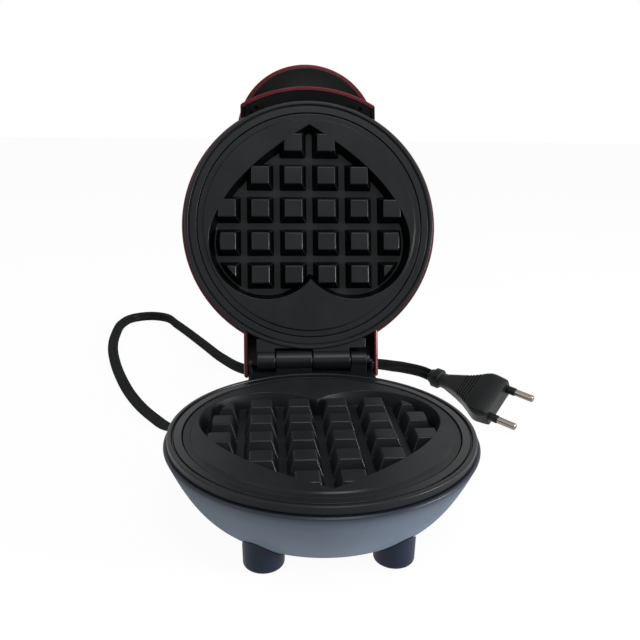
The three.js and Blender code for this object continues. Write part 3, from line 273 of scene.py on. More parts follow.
def moulded(name, dark, light, rough, grain, depth, specular=0.5, sockets=(), mottle=60.0):
    """A moulded or coated finish: slight mottling, varied roughness and a fine bumped grain."""
    look = bpy.data.materials.new(name)
    look.use_nodes = True
    tree = look.node_tree
    inputs = tree.nodes["Principled BSDF"].inputs
    cloud = noise(tree, mottle, MOTTLE_DETAIL)
    fine = noise(tree, grain, GRAIN_DETAIL)
    height = {"Strength": GRAIN_STRENGTH, "Distance": depth / MILLIMETRES, "Height": fine}
    colour = ramp(tree, cloud, list(zip(NOISE_SPAN, (dark, light))))
    tree.links.new(colour, inputs["Base Color"])
    tree.links.new(remap(tree, fine, NOISE_SPAN, rough), inputs["Roughness"])
    tree.links.new(node(tree, "Bump", height).outputs["Normal"], inputs["Normal"])
    inputs["Specular IOR Level"].default_value = specular
    for socket, value in dict(sockets).items():
        inputs[socket].default_value = value
    return look


def paint_light_and_shade(key, source, stops):
    """Paints light and shade into a look: it multiplies the colour that reaches its shader by a run of
    stops.
    """
    tree = looks[key].node_tree
    base = tree.nodes["Principled BSDF"].inputs["Base Color"]
    colours = {
        "Factor": 1.0, "A": base.links[0].from_socket, "B": ramp(tree, source(tree), stops),
    }
    tint = node(tree, "Mix", colours, data_type="RGBA", blend_type="MULTIPLY")
    tree.links.new(tint.outputs["Result"], base)


def rougher_edge_on(key, start, end, extra):
    """Adds roughness where a surface is seen edge on, as a fine-grained coating has."""
    tree = looks[key].node_tree
    rough = tree.nodes["Principled BSDF"].inputs["Roughness"]
    facing = node(tree, "LayerWeight").outputs["Facing"]
    more = remap(tree, facing, (start, end), (0.0, extra))
    total = node(tree, "Math", {0: rough.links[0].from_socket, 1: more}, operation="ADD")
    tree.links.new(total.outputs["Value"], rough)


# Each finish: its name, dark and light colour, roughness, grain and the grain's depth in
# millimetres, then its specular level, its other sockets and the scale of its mottling
METAL = {"Metallic": 1.0}
finishes = {
    "bowl": ("slate_bowl_painted_shade", (108, 123, 142), (116, 131, 150), (0.3, 0.38), 2600, 0.02, 0.22),
    "black": ("black_plastic", (11, 13, 16), (17, 19, 22), (0.28, 0.4), 3800, 0.05, 0.18),
    "red": (
        "red_lid_paint", (56, 4, 11), (64, 5, 13), (0.24, 0.32), 5200, 0.02, 0.16,
        {"Metallic": 0.5, "Coat Weight": 0.1, "Coat Roughness": 0.12},
    ),
    "casting": ("non_stick_casting", (17, 19, 20), (24, 26, 28), (0.2, 0.27), 3000, 0.03, 0.13),
    # Walls of the lower casting's pocket and studs: rougher, and slightly darker than the tops, which is
    # painted shade
    "casting_shaded_wall": (
        "non_stick_casting_shaded_wall", (14, 15, 17), (20, 21, 24), (0.46, 0.56), 3000, 0.03, 0.1,
    ),
    # Near-black walls of the upper casting's pocket and studs: painted shade
    "casting_painted_shade": ("non_stick_casting_painted_shade", (3, 4, 5), (6, 7, 8), (0.36, 0.44), 3000, 0.03, 0.03),
    # Near black and matt: painted shade for the recess behind the lid's lip, the handle's side edges and
    # the lid screws
    "painted_shade": ("painted_shade_plastic", (5, 5, 6), (9, 9, 10), (0.5, 0.62), 3800, 0.05, 0.03),
    # The lip pad's colour also carries a painted pool of light, darker away from the handle's front
    "pad": ("lip_pad_painted_light", (19, 22, 21), (25, 28, 27), (0.5, 0.62), 3800, 0.05, 0.05),
    "foot": ("foot_plastic", (12, 20, 37), (18, 28, 46), (0.42, 0.55), 3400, 0.05, 0.2),
    "rubber": ("foot_rubber", (15, 15, 16), (24, 24, 25), (0.75, 0.9), 2600, 0.08),
    "steel": (
        "plated_steel", (140, 142, 146), (176, 178, 182), (0.25, 0.42), 1800, 0.02, 0.5, METAL,
    ),
    "dark_steel": (
        "blackened_steel", (24, 25, 27), (34, 35, 37), (0.3, 0.45), 1800, 0.02, 0.5, {"Metallic": 0.6},
    ),
    "aluminised": (
        "aluminised_sheet", (160, 163, 166), (196, 198, 201), (0.3, 0.5), 900, 0.03, 0.5, METAL, 25.0,
    ),
    "ceramic": ("ceramic", (214, 208, 194), (230, 225, 212), (0.5, 0.7), 1500, 0.04),
    "nickel": (
        "plated_pin", (122, 112, 106), (146, 136, 129), (0.2, 0.26), 900, 0.002, 0.5, METAL,
    ),
    "lens": (
        "red_lens", (150, 14, 8), (176, 22, 12), (0.06, 0.12), 900, 0.01, 0.5,
        {"Transmission Weight": 0.6, "IOR": 1.49},
    ),
    "lead": ("woven_lead_sleeve", (196, 190, 174), (224, 219, 206), (0.6, 0.85), 2400, 0.1),
    "cord": ("cord_sheath", (9, 12, 12), (15, 18, 17), (0.26, 0.36), 2600, 0.04, 0.05),
    "plug": ("plug_moulding", (13, 15, 16), (20, 22, 23), (0.32, 0.46), 3600, 0.05, 0.17),
}
looks = {key: moulded(*finish) for key, finish in finishes.items()}

# Painted shade on the bowl: darkest under its lip, lighter towards its floor; and a painted pool of
# light on the lip's pad, darker away from the handle's front
BOWL_PAINTED_SHADE = (
    (0.0, (228, 228, 228)), (0.3, (208, 208, 208)), (0.55, (186, 186, 186)),
    (0.76, (170, 171, 173)), (0.88, (142, 144, 149)), (0.95, (88, 92, 100)), (1.0, (36, 38, 46)),
)
PAD_PAINTED_LIGHT = ((0.0, (255, 255, 255)), (0.45, (190, 190, 190)), (1.0, (70, 66, 66)))
BOWL_SHADE_RISE, PAD_LIGHT_STRETCH, PAD_LIGHT_REACH = (4.0, 33.0), (0.55, 1, 1), 17.0
# Painted shade on the bowl by height: darkest under the lip, lighter towards the table
paint_light_and_shade("bowl", lambda tree: rise_of(tree, *BOWL_SHADE_RISE), BOWL_PAINTED_SHADE)
rougher_edge_on("bowl", 0.4, 0.9, 0.4)
rougher_edge_on("cord", 0.3, 0.7, 0.5)
rougher_edge_on("casting", 0.42, 0.72, 0.5)

# Making meshes


def link(mesh):
    return put_in_scene("piece", mesh)


def band(lower, upper):
    """The faces between two loops of as many corners, or between a loop and a single point."""
    count = max(len(lower), len(upper))
    lower, upper = (loop * count if len(loop) == 1 else loop for loop in (lower, upper))
    quads = [(lower[i - 1], lower[i], upper[i], upper[i - 1]) for i in range(count)]
    return [tuple(dict.fromkeys(quad)) for quad in quads if count > 1]


def skin(loops, capped=True, closed=False, index=0):
    """A closed surface through loops of points, each loop running the same way."""
    points, numbers, faces = [], [], []
    for loop in loops:
        numbers.append([*range(len(points), len(points) + len(loop))])
        points.extend(loop)
    following = numbers[1:] + ([numbers[0]] if closed else [])
    for lower, upper in zip(numbers, following):
        faces.extend(band(lower, upper))
    if capped:
        faces += [numbers[0][::-1], numbers[-1]]
    mesh = bpy.data.meshes.new("piece")
    mesh.from_pydata([tuple(float(c) for c in p) for p in points], [], faces)
    work = bmesh.new()
    work.from_mesh(mesh)
    bmesh.ops.recalc_face_normals(work, faces=work.faces)
    for face in work.faces:
        face.material_index = index
    work.to_mesh(mesh)
    work.free()
    return link(mesh)


def revolve(profile, sides=ROUND, closed=False, index=0):
    """A profile of (radius, height) points turned about Z."""
    angles = [2 * math.pi * i / sides for i in range(sides)]
    loops = [
        [(radius * math.cos(a), radius * math.sin(a), height) for a in (angles if radius else [0])]
        for radius, height in profile
    ]
    return skin(loops, capped=False, closed=closed, index=index)


def rounded(corners, steps=5, closed=False):
    """A run of (a, b) or (a, b, radius) corners, with an arc in place of each that has a radius."""
    made = []
    places = [complex(*corner[:2]) for corner in corners]
    for i, corner in enumerate(corners):
        if len(corner) < 3 or not (closed or 0 < i < len(corners) - 1):
            made.append(corner[:2])
            continue
        into = places[i] - places[i - 1]
        out = places[(i + 1) % len(places)] - places[i]
        bend = cmath.phase(out / into)
        slope = math.tan(abs(bend) / 2)
        reach = min(corner[2] * slope, LONGEST_SHARE * min(abs(into), abs(out)))
        start = places[i] - reach * into / abs(into)
        arm = -1j * math.copysign(reach / slope, bend) * into / abs(into)
        for k in range(steps + 1):
            at = start - arm + arm * cmath.exp(1j * bend * k / steps)
            made.append((round(at.real, 5), round(at.imag, 5)))
    return made


def arc(cx, cy, radius, start, end, steps):
    angles = [math.radians(start + (end - start) * i / steps) for i in range(steps + 1)]
    return [(cx + radius * math.cos(a), cy + radius * math.sin(a)) for a in angles]


def bezier(control, steps):
    """Points at even steps along a Bezier curve of any order."""
    order = len(control) - 1
    t = np.arange(steps + 1)[:, None] / steps
    return sum(
        math.comb(order, k) * t ** k * (1 - t) ** (order - k) * point for k, point in enumerate(control)
    )


def unit(vectors):
    return vectors / np.linalg.norm(vectors, axis=1)[:, None]


def settle(piece):
    """Applies the modifiers on a piece."""
    graph = bpy.context.evaluated_depsgraph_get()
    mesh = bpy.data.meshes.new_from_object(piece.evaluated_get(graph), depsgraph=graph)
    old = piece.data
    piece.modifiers.clear()
    piece.data = mesh
    bpy.data.meshes.remove(old)
    return piece


def discard(piece):
    mesh = piece.data
    bpy.data.objects.remove(piece)
    bpy.data.meshes.remove(mesh)


def combine(operation, whole, *parts):
    for part in parts:
        modifier = whole.modifiers.new("combine", "BOOLEAN")
        modifier.operation = operation
        modifier.solver = "EXACT"
        modifier.object = part
    settle(whole)
    for part in parts:
        discard(part)
    return whole


join, cut, keep = (partial(combine, name) for name in ("UNION", "DIFFERENCE", "INTERSECT"))


def ease(piece, width, segments=3):
    """Rounds the sharp edges of a piece."""
    modifier = piece.modifiers.new("ease", "BEVEL")
    modifier.width = width
    modifier.segments = segments
    modifier.limit_method = "ANGLE"
    modifier.angle_limit = math.radians(BEVEL_DEGREES)
    return settle(piece)


def moved(piece, matrix):
    piece.data.transform(matrix)
    return piece


def together(*parts):
    """Solids that don't touch, as one object."""
    work = bmesh.new()
    for part in parts:
        work.from_mesh(part.data)
        discard(part)
    mesh = bpy.data.meshes.new("piece")
    work.to_mesh(mesh)
    work.free()
    return link(mesh)


def wear(keys, *pieces):
    """Gives pieces the materials that their faces are numbered for, so that cuts keep them apart."""
    for piece in pieces:
        for key in keys:
            piece.data.materials.append(looks[key])


def prism(outline, low, high, index=0):
    return skin([[(x, y, z) for x, y in outline] for z in (low, high)], index=index)


def sideways(outline, low, high, index=0):
    """A side profile of (y, z) points carried along X."""
    return skin([[(x, y, z) for y, z in outline] for x in (low, high)], index=index)


def block(xs, ys, zs, index=0):
    corners = [(xs[0], ys[0]), (xs[1], ys[0]), (xs[1], ys[1]), (xs[0], ys[1])]
    return prism(corners, zs[0], zs[1], index)


def post(x, y, radius, low, high, sides=SMALL_ROUND, index=0):
    return prism(arc(x, y, radius, 0, 360 - 360 / sides, sides - 1), low, high, index)


def posts(places, *form, **options):
    return together(*[post(x, y, *form, **options) for x, y in places])


def rod(low, high, radius, edge=0.0):
    """A round bar along X with eased ends."""
    profile = [(0, low), (radius, low, edge), (radius, high, edge), (0, high)]
    return moved(revolve(rounded(profile), SMALL_ROUND), turn(90, "Y"))


def place(piece, name, space, materials, on, slot, *nodes):
    """Puts a finished shape in the frame, with its materials, its body and the nodes it stands for."""
    moved(piece, space)
    piece.name = name
    indices = [min(face.material_index, len(materials) - 1) for face in piece.data.polygons]
    piece.data.materials.clear()
    wear(materials, piece)
    piece.data.polygons.foreach_set("material_index", indices)
    piece.data.shade_smooth()
    piece.data.set_sharp_from_angle(angle=math.radians(SHARP_DEGREES))
    piece.modifiers.new("even", "WEIGHTED_NORMAL").keep_sharp = True
    settle(piece)
    piece.data.name = name
    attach(piece, on)
    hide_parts(*nodes)
    return piece


# The lead and its plug

PLUG = (
    TABLE
    @ shift(plug.place[0], plug.place[1], plug.rise)
    @ turn(plug.heading, "Z")
    @ turn(plug.pitch, "Y")
    @ turn(plug.lean, "X")
)


def side_curve(form, grow=0.0, steps=40):
    """A round shell's outer side, from its widest place down to its floor."""
    control = np.array([
        (body.rim_radius, -shell.bulge_depth),
        (form.upper_bend_radius, -form.upper_bend_depth),
        (form.lower_bend_radius, -form.depth),
        (form.floor_radius, -form.depth),
    ])
    line = bezier(control, steps)
    along = unit(np.gradient(line, axis=0))
    along[:1] = unit(control[1:2] - control[:1])
    along[-1] = (-1.0, 0.0)
    return [(x - dy * grow, y + dx * grow) for (x, y), (dx, dy) in zip(line, along)]


exit_height = relief.height - body.plate_height
exit_radius = np.interp(-exit_height, *np.array([(-y, x) for x, y in side_curve(shell, steps=6)]).T)
exit_angle = math.radians(relief.degrees)
EXIT = (
    shift(exit_radius * math.cos(exit_angle), exit_radius * math.sin(exit_angle), exit_height)
    @ turn(relief.degrees, "Z")
)

# Places on the table that the lead passes, with its rise above it, from the boot to the plug
cord_route = [
    (-59.2, 59.2, 8.0), (-64.0, 64.1, 4.6), (-68.6, 69.0, 1.2), (-73.4, 74.9, 0.0),
    (-80.8, 85.4, 0.0), (-89.8, 100.0, 0.0), (-100.1, 121.0, 0.0), (-110.2, 147.0, 0.0),
    (-118.9, 173.6, 0.0), (-127.0, 205.0, 0.0), (-131.4, 235.0, 0.0), (-131.9, 263.0, 0.0),
    (-126.5, 277.0, 0.0), (-113.4, 282.6, 0.0), (-100.2, 276.8, 0.0), (-89.7, 257.5, 0.0),
    (-78.3, 234.8, 0.0), (-64.4, 205.7, 0.0), (-50.8, 177.6, 0.0), (-36.6, 157.0, 0.0),
    (-17.0, 146.8, 0.0), (4.0, 150.0, 0.0), (15.5, 157.0, 0.0), (26.3, 163.0, 0.0),
    (37.6, 164.4, 0.2), (47.3, 158.8, 1.5), (52.2, 148.4, 4.4), (54.6, 137.5, 7.6),
    (58.4, 126.4, 10.7),
]


def smooth_line(points, steps):
    """A centripetal Catmull-Rom line through points, as evenly parametered as the solid's."""
    points = [np.array(p, float) for p in points]
    count = len(points)
    padded = [2 * points[0] - points[1], *points, 2 * points[-1] - points[-2]]
    made = []
    for k in range(steps + 1):
        at = (count - 1) * k / steps
        i = min(int(at), count - 2)
        t = at - i
        p0, p1, p2, p3 = padded[i:i + 4]
        d0, d1, d2 = (
            max(np.linalg.norm(b - a), 1e-6) ** 0.5 for a, b in ((p0, p1), (p1, p2), (p2, p3))
        )
        start = ((p1 - p0) / d0 - (p2 - p0) / (d0 + d1) + (p2 - p1) / d1) * d1
        end = ((p2 - p1) / d1 - (p3 - p1) / (d1 + d2) + (p3 - p2) / d2) * d1
        made.append(
            p1
            + start * t
            + (-3 * p1 + 3 * p2 - 2 * start - end) * t ** 2
            + (2 * p1 - 2 * p2 + start + end) * t ** 3
        )
    return np.array(made)


def cord_line():
    """The middle of the lead, on the table's own axes."""
    lying = cord.width / 2 + cord.table_gap
    out_of_relief = [
        EXIT @ Vector((relief.tip_length + distance, 0, 0)) + Vector((0, 0, body.plate_height))
        for distance in (body.clear, cord.thickness / 2)
    ]
    behind_plug = [
        TABLE.inverted() @ PLUG @ Vector((-plug.length - distance, 0, 0))
        for distance in (cord.width, body.clear)
    ]
    on_table = [(x, y, lying + rise) for x, y, rise in cord_route]
    line = smooth_line([*out_of_relief, *on_table, *behind_plug], cord.steps)
    return np.maximum(line, (-np.inf, -np.inf, cord.width / 2))


def twin_section():
    """The flat twin sheath across: two round cores side by side with a groove between them."""
    radius = cord.thickness / 2
    aside = cord.width / 2 - radius
    groove = radius * cord.groove_share
    dip = math.degrees(math.acos(aside / radius))
    right = arc(aside, 0, radius, -180 + dip, 180 - dip, cord.core_steps)
    left = arc(-aside, 0, radius, dip, 360 - dip, cord.core_steps)
    return right[1:-1] + [(0, groove)] + left[1:-1] + [(0, -groove)]


def eased(value, start, end):
    share = np.clip((value - start) / (end - start), 0, 1)
    return share * share * (3 - 2 * share)


def lengths_along(line):
    return np.concatenate(([0.0], np.cumsum(np.linalg.norm(np.diff(line, axis=0), axis=1))))


def cord_lean(travelled):
    """How the lead's width leans, on edge but for its first stretch, and how far that lowers it."""
    start, down, last, up = cord.lying_span
    lying = eased(travelled, start, down) * (1 - eased(travelled, last, up))
    turning = eased(travelled, travelled[-1] - cord.twist_length, travelled[-1])
    lean = np.radians(90 + (cord.lying_lean - 90) * lying + (plug.lean - 90) * turning)
    return lean, (cord.width - cord.thickness) / 2 * (1 - np.sin(lean)) * lying


def make_cord():
    """The lead, which lies down at first and turns along the plug's width at its end."""
    line = cord_line()
    leans, drop = cord_lean(lengths_along(line))
    line[:, 2] -= drop
    section = twin_section()
    loops = []
    for point, ahead, lean in zip(line, unit(np.gradient(line, axis=0)), leans):
        side = np.cross(ahead, (0, 0, 1))
        side /= np.linalg.norm(side)
        up = np.cross(side, ahead)
        wide = math.sin(lean) * up - math.cos(lean) * side
        thin = np.cross(ahead, wide)
        loops.append([point + wide * a + thin * b for a, b in section])
    piece = place(skin(loops), "mains_cord", TABLE, ["cord"], "base", "cord_sheath", "power_cord")
    path = [TABLE @ Vector(p) for p in line]
    return piece, path, float(lengths_along(line)[-1]) / MILLIMETRES


def squircle(half_width, half_height, corner, steps=8):
    """A rounded rectangle of (y, z) points."""
    corner = min(corner, half_width, half_height)
    made = []
    for start, sy, sz in ((0, 1, 1), (90, -1, 1), (180, -1, -1), (270, 1, -1)):
        centre = (sy * (half_width - corner), sz * (half_height - corner))
        made.extend(arc(*centre, corner, start, start + 90, steps))
    return made


# Rounded rectangles along the plug: x, half width, half height and corner at each station.
# The collar's x starts at the plug's back, and the grip's where its pins are measured from.
collar_stations = [
    (0, 3.7, 3.4, 3.3), (0.4, 4.0, 3.7, 3.6), (1.8, 4.0, 3.8, 3.7), (2.2, 4.8, 4.2, 4.1),
    (2.4, 5.3, 4.45, 4.4), (2.8, 5.6, 4.6, 4.5), (6.2, 5.6, 4.6, 4.5), (6.6, 5.3, 4.45, 4.4),
    (6.8, 4.8, 4.2, 4.1), (7.2, 4.0, 3.9, 3.8),
]
grip_stations = [
    (-28.5, 4.1, 4.1, 3.4), (-24.0, 4.9, 4.8, 2.4), (-20.0, 5.9, 5.2, 2.0),
    (-15.0, 7.7, 5.75, 2.0), (-11.5, 9.5, 6.1, 2.0), (-8.0, 11.5, 6.5, 2.0),
    (-5.8, 12.7, 6.5, 2.2), (-3.6, 13.4, 6.5, 3.2), (-1.6, 13.5, 6.4, 3.7),
    (0.4, 13.2, 6.1, 3.2), (2.0, 12.8, 5.8, 2.3), (plug.nose_reach - 0.5, 12.3, 5.4, 1.4),
    (plug.nose_reach - 0.1, 12.0, 5.2, 1.0), (plug.nose_reach, 11.7, 4.9, 0.8),
]


def plug_loops():
    stations = [(x - plug.length, *form) for x, *form in collar_stations] + grip_stations
    ribs = [plug.rib_first - plug.rib_pitch * i for i in range(plug.ribs)]
    across = [plug.rib_half * share for share in (-1, -0.6, -0.3, 0, 0.3, 0.6, 1)]
    known = np.array(stations)
    loops = []
    for x in sorted(set([s[0] for s in stations] + [round(at + d, 3) for at in ribs for d in across])):
        wide, high, corner = (float(np.interp(x, known[:, 0], known[:, k])) for k in (1, 2, 3))
        nearest = min(abs(x - at) for at in ribs)
        dent = plug.rib_depth * math.sqrt(max(0.0, 1 - (nearest / plug.rib_half) ** 2))
        loops.append([(x, y, z) for y, z in squircle(wide, high - dent, corner)])
    return loops


def make_plug():
    p = plug
    piece = skin(plug_loops())
    hole = (-p.pin_root - body.clear, p.nose_reach + body.overrun, p.sleeve_radius + p.sleeve_gap)
    cut(piece, *[moved(rod(*hole), shift(0, side * p.pin_spacing / 2, 0)) for side in (-1, 1)])
    made = [place(piece, "plug_moulding", PLUG, ["plug"], "base", "black_plastic", "plug_body")]
    pin_profile = rounded([
        (0, -p.pin_root),
        (p.pin_radius - body.clear, -p.pin_root, 0.2),
        (p.pin_radius - body.clear, p.sleeve_length),
        (p.pin_radius, p.sleeve_length + body.clear),
        (p.pin_radius, p.pin_length, p.pin_radius * p.pin_tip_share),
        (0, p.pin_length),
    ], 8)
    end = p.sleeve_length - body.clear
    sleeve_profile = rounded([
        (p.pin_radius, -p.pin_root), (p.sleeve_radius, -p.pin_root),
        (p.sleeve_radius, end, 0.25), (p.pin_radius, end),
    ], closed=True)
    for name, side in (("left", 1), ("right", -1)):
        at = PLUG @ shift(0, side * p.pin_spacing / 2, 0) @ turn(90, "Y")
        pin = revolve(pin_profile, PIN_ROUND)
        sleeve = revolve(sleeve_profile, PIN_ROUND, closed=True)
        made += [
            place(pin, f"pin_{name}", at, ["nickel"], "base", "pin_metal", f"plug_pin_{name}"),
            place(
                sleeve, f"pin_sleeve_{name}", at, ["plug"], "base", "black_plastic",
                f"plug_sleeve_{name}",
            ),
        ]
    return made


def make_relief():
    """The ribbed boot that the lead leaves the bowl through."""
    r = relief
    inner = -r.boss_inward - body.clear
    pitch = (r.tip_length - r.root_start) / (r.ribs + 1)
    profile = [
        (0, inner - r.flange_thickness),
        (r.flange_radius, inner - r.flange_thickness, 0.3),
        (r.flange_radius, inner, 0.3),
        (r.collar_radius, inner),
        (r.collar_radius, r.root_start - 0.5, 0.4),
    ]
    half = pitch * r.groove_share
    for i in range(1, r.ribs + 1):
        at = r.root_start + i * pitch
        radius = r.root_radius + (r.tip_radius - r.root_radius) * at / r.tip_length
        groove = radius - r.groove_depth
        profile += [
            (radius, at - half, 0.3), (groove, at - half / 2, 0.3),
            (groove, at + half / 2, 0.3), (radius, at + half, 0.3),
        ]
    profile += [(r.tip_radius, r.tip_length, 0.5), (0, r.tip_length)]
    piece = revolve(rounded(profile, 3), SMALL_ROUND)
    at = BASE @ EXIT @ turn(90, "Y")
    place(piece, "strain_relief_boot", at, ["plug"], "base", "rubber", "strain_relief")


cord_piece, cord_path, cord_length = make_cord()
plug_pieces = make_plug()
make_relief()

# The cooking plates


def heart_line(lobe_steps, side_steps):
    """The heart's outline, tip towards -Y, with the direction straight out of it at each point."""
    h = heart
    notch = math.degrees(math.acos(-h.lobe_aside / h.lobe_radius))
    lobe = arc(h.lobe_aside, h.lobe_back, h.lobe_radius, -h.lobe_end_degrees, notch, lobe_steps)
    flank = bezier(np.array([(0, -h.tip_reach), (h.side_aside, -h.side_reach), lobe[0]]), side_steps)
    right = np.concatenate((flank[:-1], lobe))
    line = np.concatenate((right, right[-2:0:-1] * (-1, 1)))
    into = unit(line - np.roll(line, 1, axis=0))
    out = unit(np.roll(line, -1, axis=0) - line)
    side = unit(np.stack((into[:, 1] + out[:, 1], -into[:, 0] - out[:, 0]), axis=1))
    reach = side[:, 0] * into[:, 1] - side[:, 1] * into[:, 0]
    return line, side / reach[:, None]


HEART, HEART_OUT = heart_line(*heart.steps)


def heart_ring(outwards, height):
    return [(x, y, height) for x, y in HEART + HEART_OUT * outwards]


def round_ring(radius, height):
    """A circle with one point in line with each point of the heart, as seen from the middle."""
    return [(x, y, height) for x, y in unit(HEART) * radius]


def heart_skin(profile):
    """A closed heart moved outwards by an amount at each height, with its corners off the casting's."""
    line, out = heart_line(*heart.clip_steps)
    return skin([[(x, y, height) for x, y in line + out * outwards] for outwards, height in profile])


def stud_shape(x, y):
    top = stud.top_width / 2
    foot_half = top + stud.draft * (1 + stud.sunk / plate.pocket_depth)
    low = -plate.pocket_depth - stud.sunk
    return ease(skin([
        [(x + sx * half, y + sy * half, height) for sx, sy in SQUARE]
        for half, height in ((foot_half, low), (top, -stud.below_top))
    ]), stud.edge)


def studs_of(rows):
    """The studs in rows of (row, columns), both counted in pitches from the middle."""
    return together(*[
        stud_shape(column * stud.pitch, row * stud.pitch) for row, columns in rows for column in columns
    ])


four_across = (-1.5, -0.5, 0.5, 1.5)
flush_studs = [
    (-2.5, (-0.5, 0.5)), (-1.5, four_across), (-0.5, (-2.5, *four_across, 2.5)),
    (0.5, four_across), (1.5, four_across),
]
free_studs = [(0.5, (-2.5, 2.5)), (1.5, (-2.5, 2.5))]
post_places = [
    (plate.post_circle * math.cos(math.radians(a)), plate.post_circle * math.sin(math.radians(a)))
    for a in plate.post_degrees
]


def bare_casting():
    """The plate without its studs: a round border with a heart-shaped pocket, and the same below."""
    p = plate
    floor = -p.pocket_depth
    edge = rounded([
        (p.radius - p.lead_in, -p.border_thickness),
        (p.radius, -p.border_thickness, p.lower_edge),
        (p.radius, -p.step_drop, p.outer_edge),
        (p.step_radius + p.step_drop, -p.step_drop, p.step_edge),
        (p.step_radius, 0, p.step_edge),
        (p.step_radius - p.lead_in, 0),
    ])[1:-1]
    pocket = rounded([
        (p.lead_in, 0),
        (0, 0, p.edge),
        (-p.draft, floor, p.floor_fillet),
        (-p.draft - p.lead_in, floor),
    ])[1:-1]
    under = [(p.boss_wall - p.boss_taper, floor - p.floor_thickness), (p.boss_wall, -p.border_thickness)]
    return skin(
        [heart_ring(*at) for at in under]
        + [round_ring(*at) for at in edge]
        + [heart_ring(*at) for at in pocket]
    )


def cooking_plate():
    """The flush studs run into the pocket's wall, and the free ones on the lobes stand clear of it."""
    p = plate
    floor = -p.pocket_depth
    under = floor - p.floor_thickness
    flush = keep(
        studs_of(flush_studs), heart_skin([(stud.overlap, under), (stud.overlap, body.overrun)]),
    )
    foot_inset = p.draft + stud.edge_gap
    top_inset = foot_inset + stud.draft
    clip_top = stud.clip_rise - stud.below_top
    clip = rounded([
        (2 * stud.sunk * stud.draft / p.pocket_depth - foot_inset, floor - 2 * stud.sunk),
        (-top_inset, clip_top, stud.edge),
        (-top_inset - p.lead_in, clip_top),
    ])[:-1]
    free = keep(studs_of(free_studs), heart_skin(clip))
    legs = posts(post_places, p.post_radius, under - p.post_length, floor - p.post_sunk)
    return join(bare_casting(), flush, free, legs)


casting = cooking_plate()
# Faces tilted like the pocket's and studs' walls take the second look: painted shade on the upper
# casting, and a rougher, slightly darker look on the lower one
for face in casting.data.polygons:
    face.material_index = int(plate.side_tilt[0] < face.normal.z < plate.side_tilt[1])
upper = link(casting.data.copy())
for piece, name, space, side, on in (
    (casting, "lower", BASE, "casting_shaded_wall", "base"), (upper, "upper", LID, "casting_painted_shade", "lid"),
):
    place(piece, f"{name}_casting", space, ["casting", side], on, "non_stick_casting", f"{name}_plate")

# The base's bezel and its half of the hinge

SPIGOT_DEPTH = shell.bulge_depth + dome.wall - body.clear
SHELF_TOP = -plate.border_thickness - body.clear


def bezel_ring():
    b = bezel
    low = SHELF_TOP - b.shelf_thickness
    return revolve(rounded([
        (b.seat_radius, -b.seat_drop, 0.25), (b.groove_inner, -b.seat_drop, 0.25),
        (b.groove_bottom_inner, -b.groove_depth, 0.2), (b.groove_bottom_outer, -b.groove_depth, 0.2),
        (b.ridge_inner, 0, 0.4), (b.ridge_outer, 0, 0.6),
        (b.outer_radius, -b.edge_ease, 0.4), (b.outer_radius, -b.side_height, 0.2),
        (b.spigot_outer, -b.side_height), (b.spigot_outer, -SPIGOT_DEPTH),
        (b.spigot_inner, -SPIGOT_DEPTH), (b.spigot_inner, -b.web_depth),
        (b.seat_outer, -b.web_depth), (b.seat_outer, low),
        (b.shelf_inner, low), (b.shelf_inner, SHELF_TOP), (b.seat_radius, SHELF_TOP),
    ], closed=True), closed=True)


def inside_spigot(low):
    """What is cut away from a form that runs in under the ring."""
    return post(0, 0, bezel.spigot_inner, low, body.overrun, ROUND)


def on_axis(span, radius, edge=0.0, rise=hinge.axis_rise):
    """A knuckle on the hinge's axis, or the cutter for its pin."""
    return moved(rod(*span, radius, edge), shift(0, hinge.axis_back, rise))


def both_sides(outer, inner):
    """The spans along X of a pair of pieces, at the left and at the right."""
    return [sorted((side * outer, side * inner)) for side in (-1, 1)]


def hinge_block(grow):
    h = hinge
    return block(
        (-h.block_half - grow, h.block_half + grow),
        (h.block_front, h.block_back + grow),
        (-h.block_depth - grow, -h.block_drop),
    )


def base_bezel():
    h = hinge
    seat = ease(hinge_block(0), h.block_edge)
    cut(seat, inside_spigot(-h.block_depth - body.overrun))
    low = -h.block_drop - h.seam
    parts = []
    for span, radius in ((h.base_inner, h.barrel_radius), (h.base_outer, h.end_radius)):
        web = block(span, (h.axis_back - h.web_front, h.axis_back + radius), (low, h.axis_rise))
        parts.append(join(on_axis(span, radius, h.edge), ease(web, h.web_edge)))
    for span in both_sides(h.block_half, h.ear_inner):
        ear = block(span, (h.axis_back - h.ear_reach, h.axis_back + h.ear_reach), (low, h.ear_rise))
        parts.append(ease(ear, h.block_edge))
    whole = join(bezel_ring(), seat, *parts)
    end = h.block_half + body.overrun / 2
    return cut(whole, on_axis((-end, end), h.pin_hole_radius))


place(base_bezel(), "base_rim", BASE, ["black"], "base", "black_plastic", "base_bezel")

# The bowl and its feet

foot_places = [(x, y) for y in (-foot.forward, foot.back) for x in (-foot.aside, foot.aside)]


def full_form(form, grow):
    return revolve([
        (0, -form.depth - grow),
        *side_curve(form, grow)[::-1],
        (shell.lip_outer + grow, -shell.lip_depth),
        (0, -shell.lip_depth),
    ])


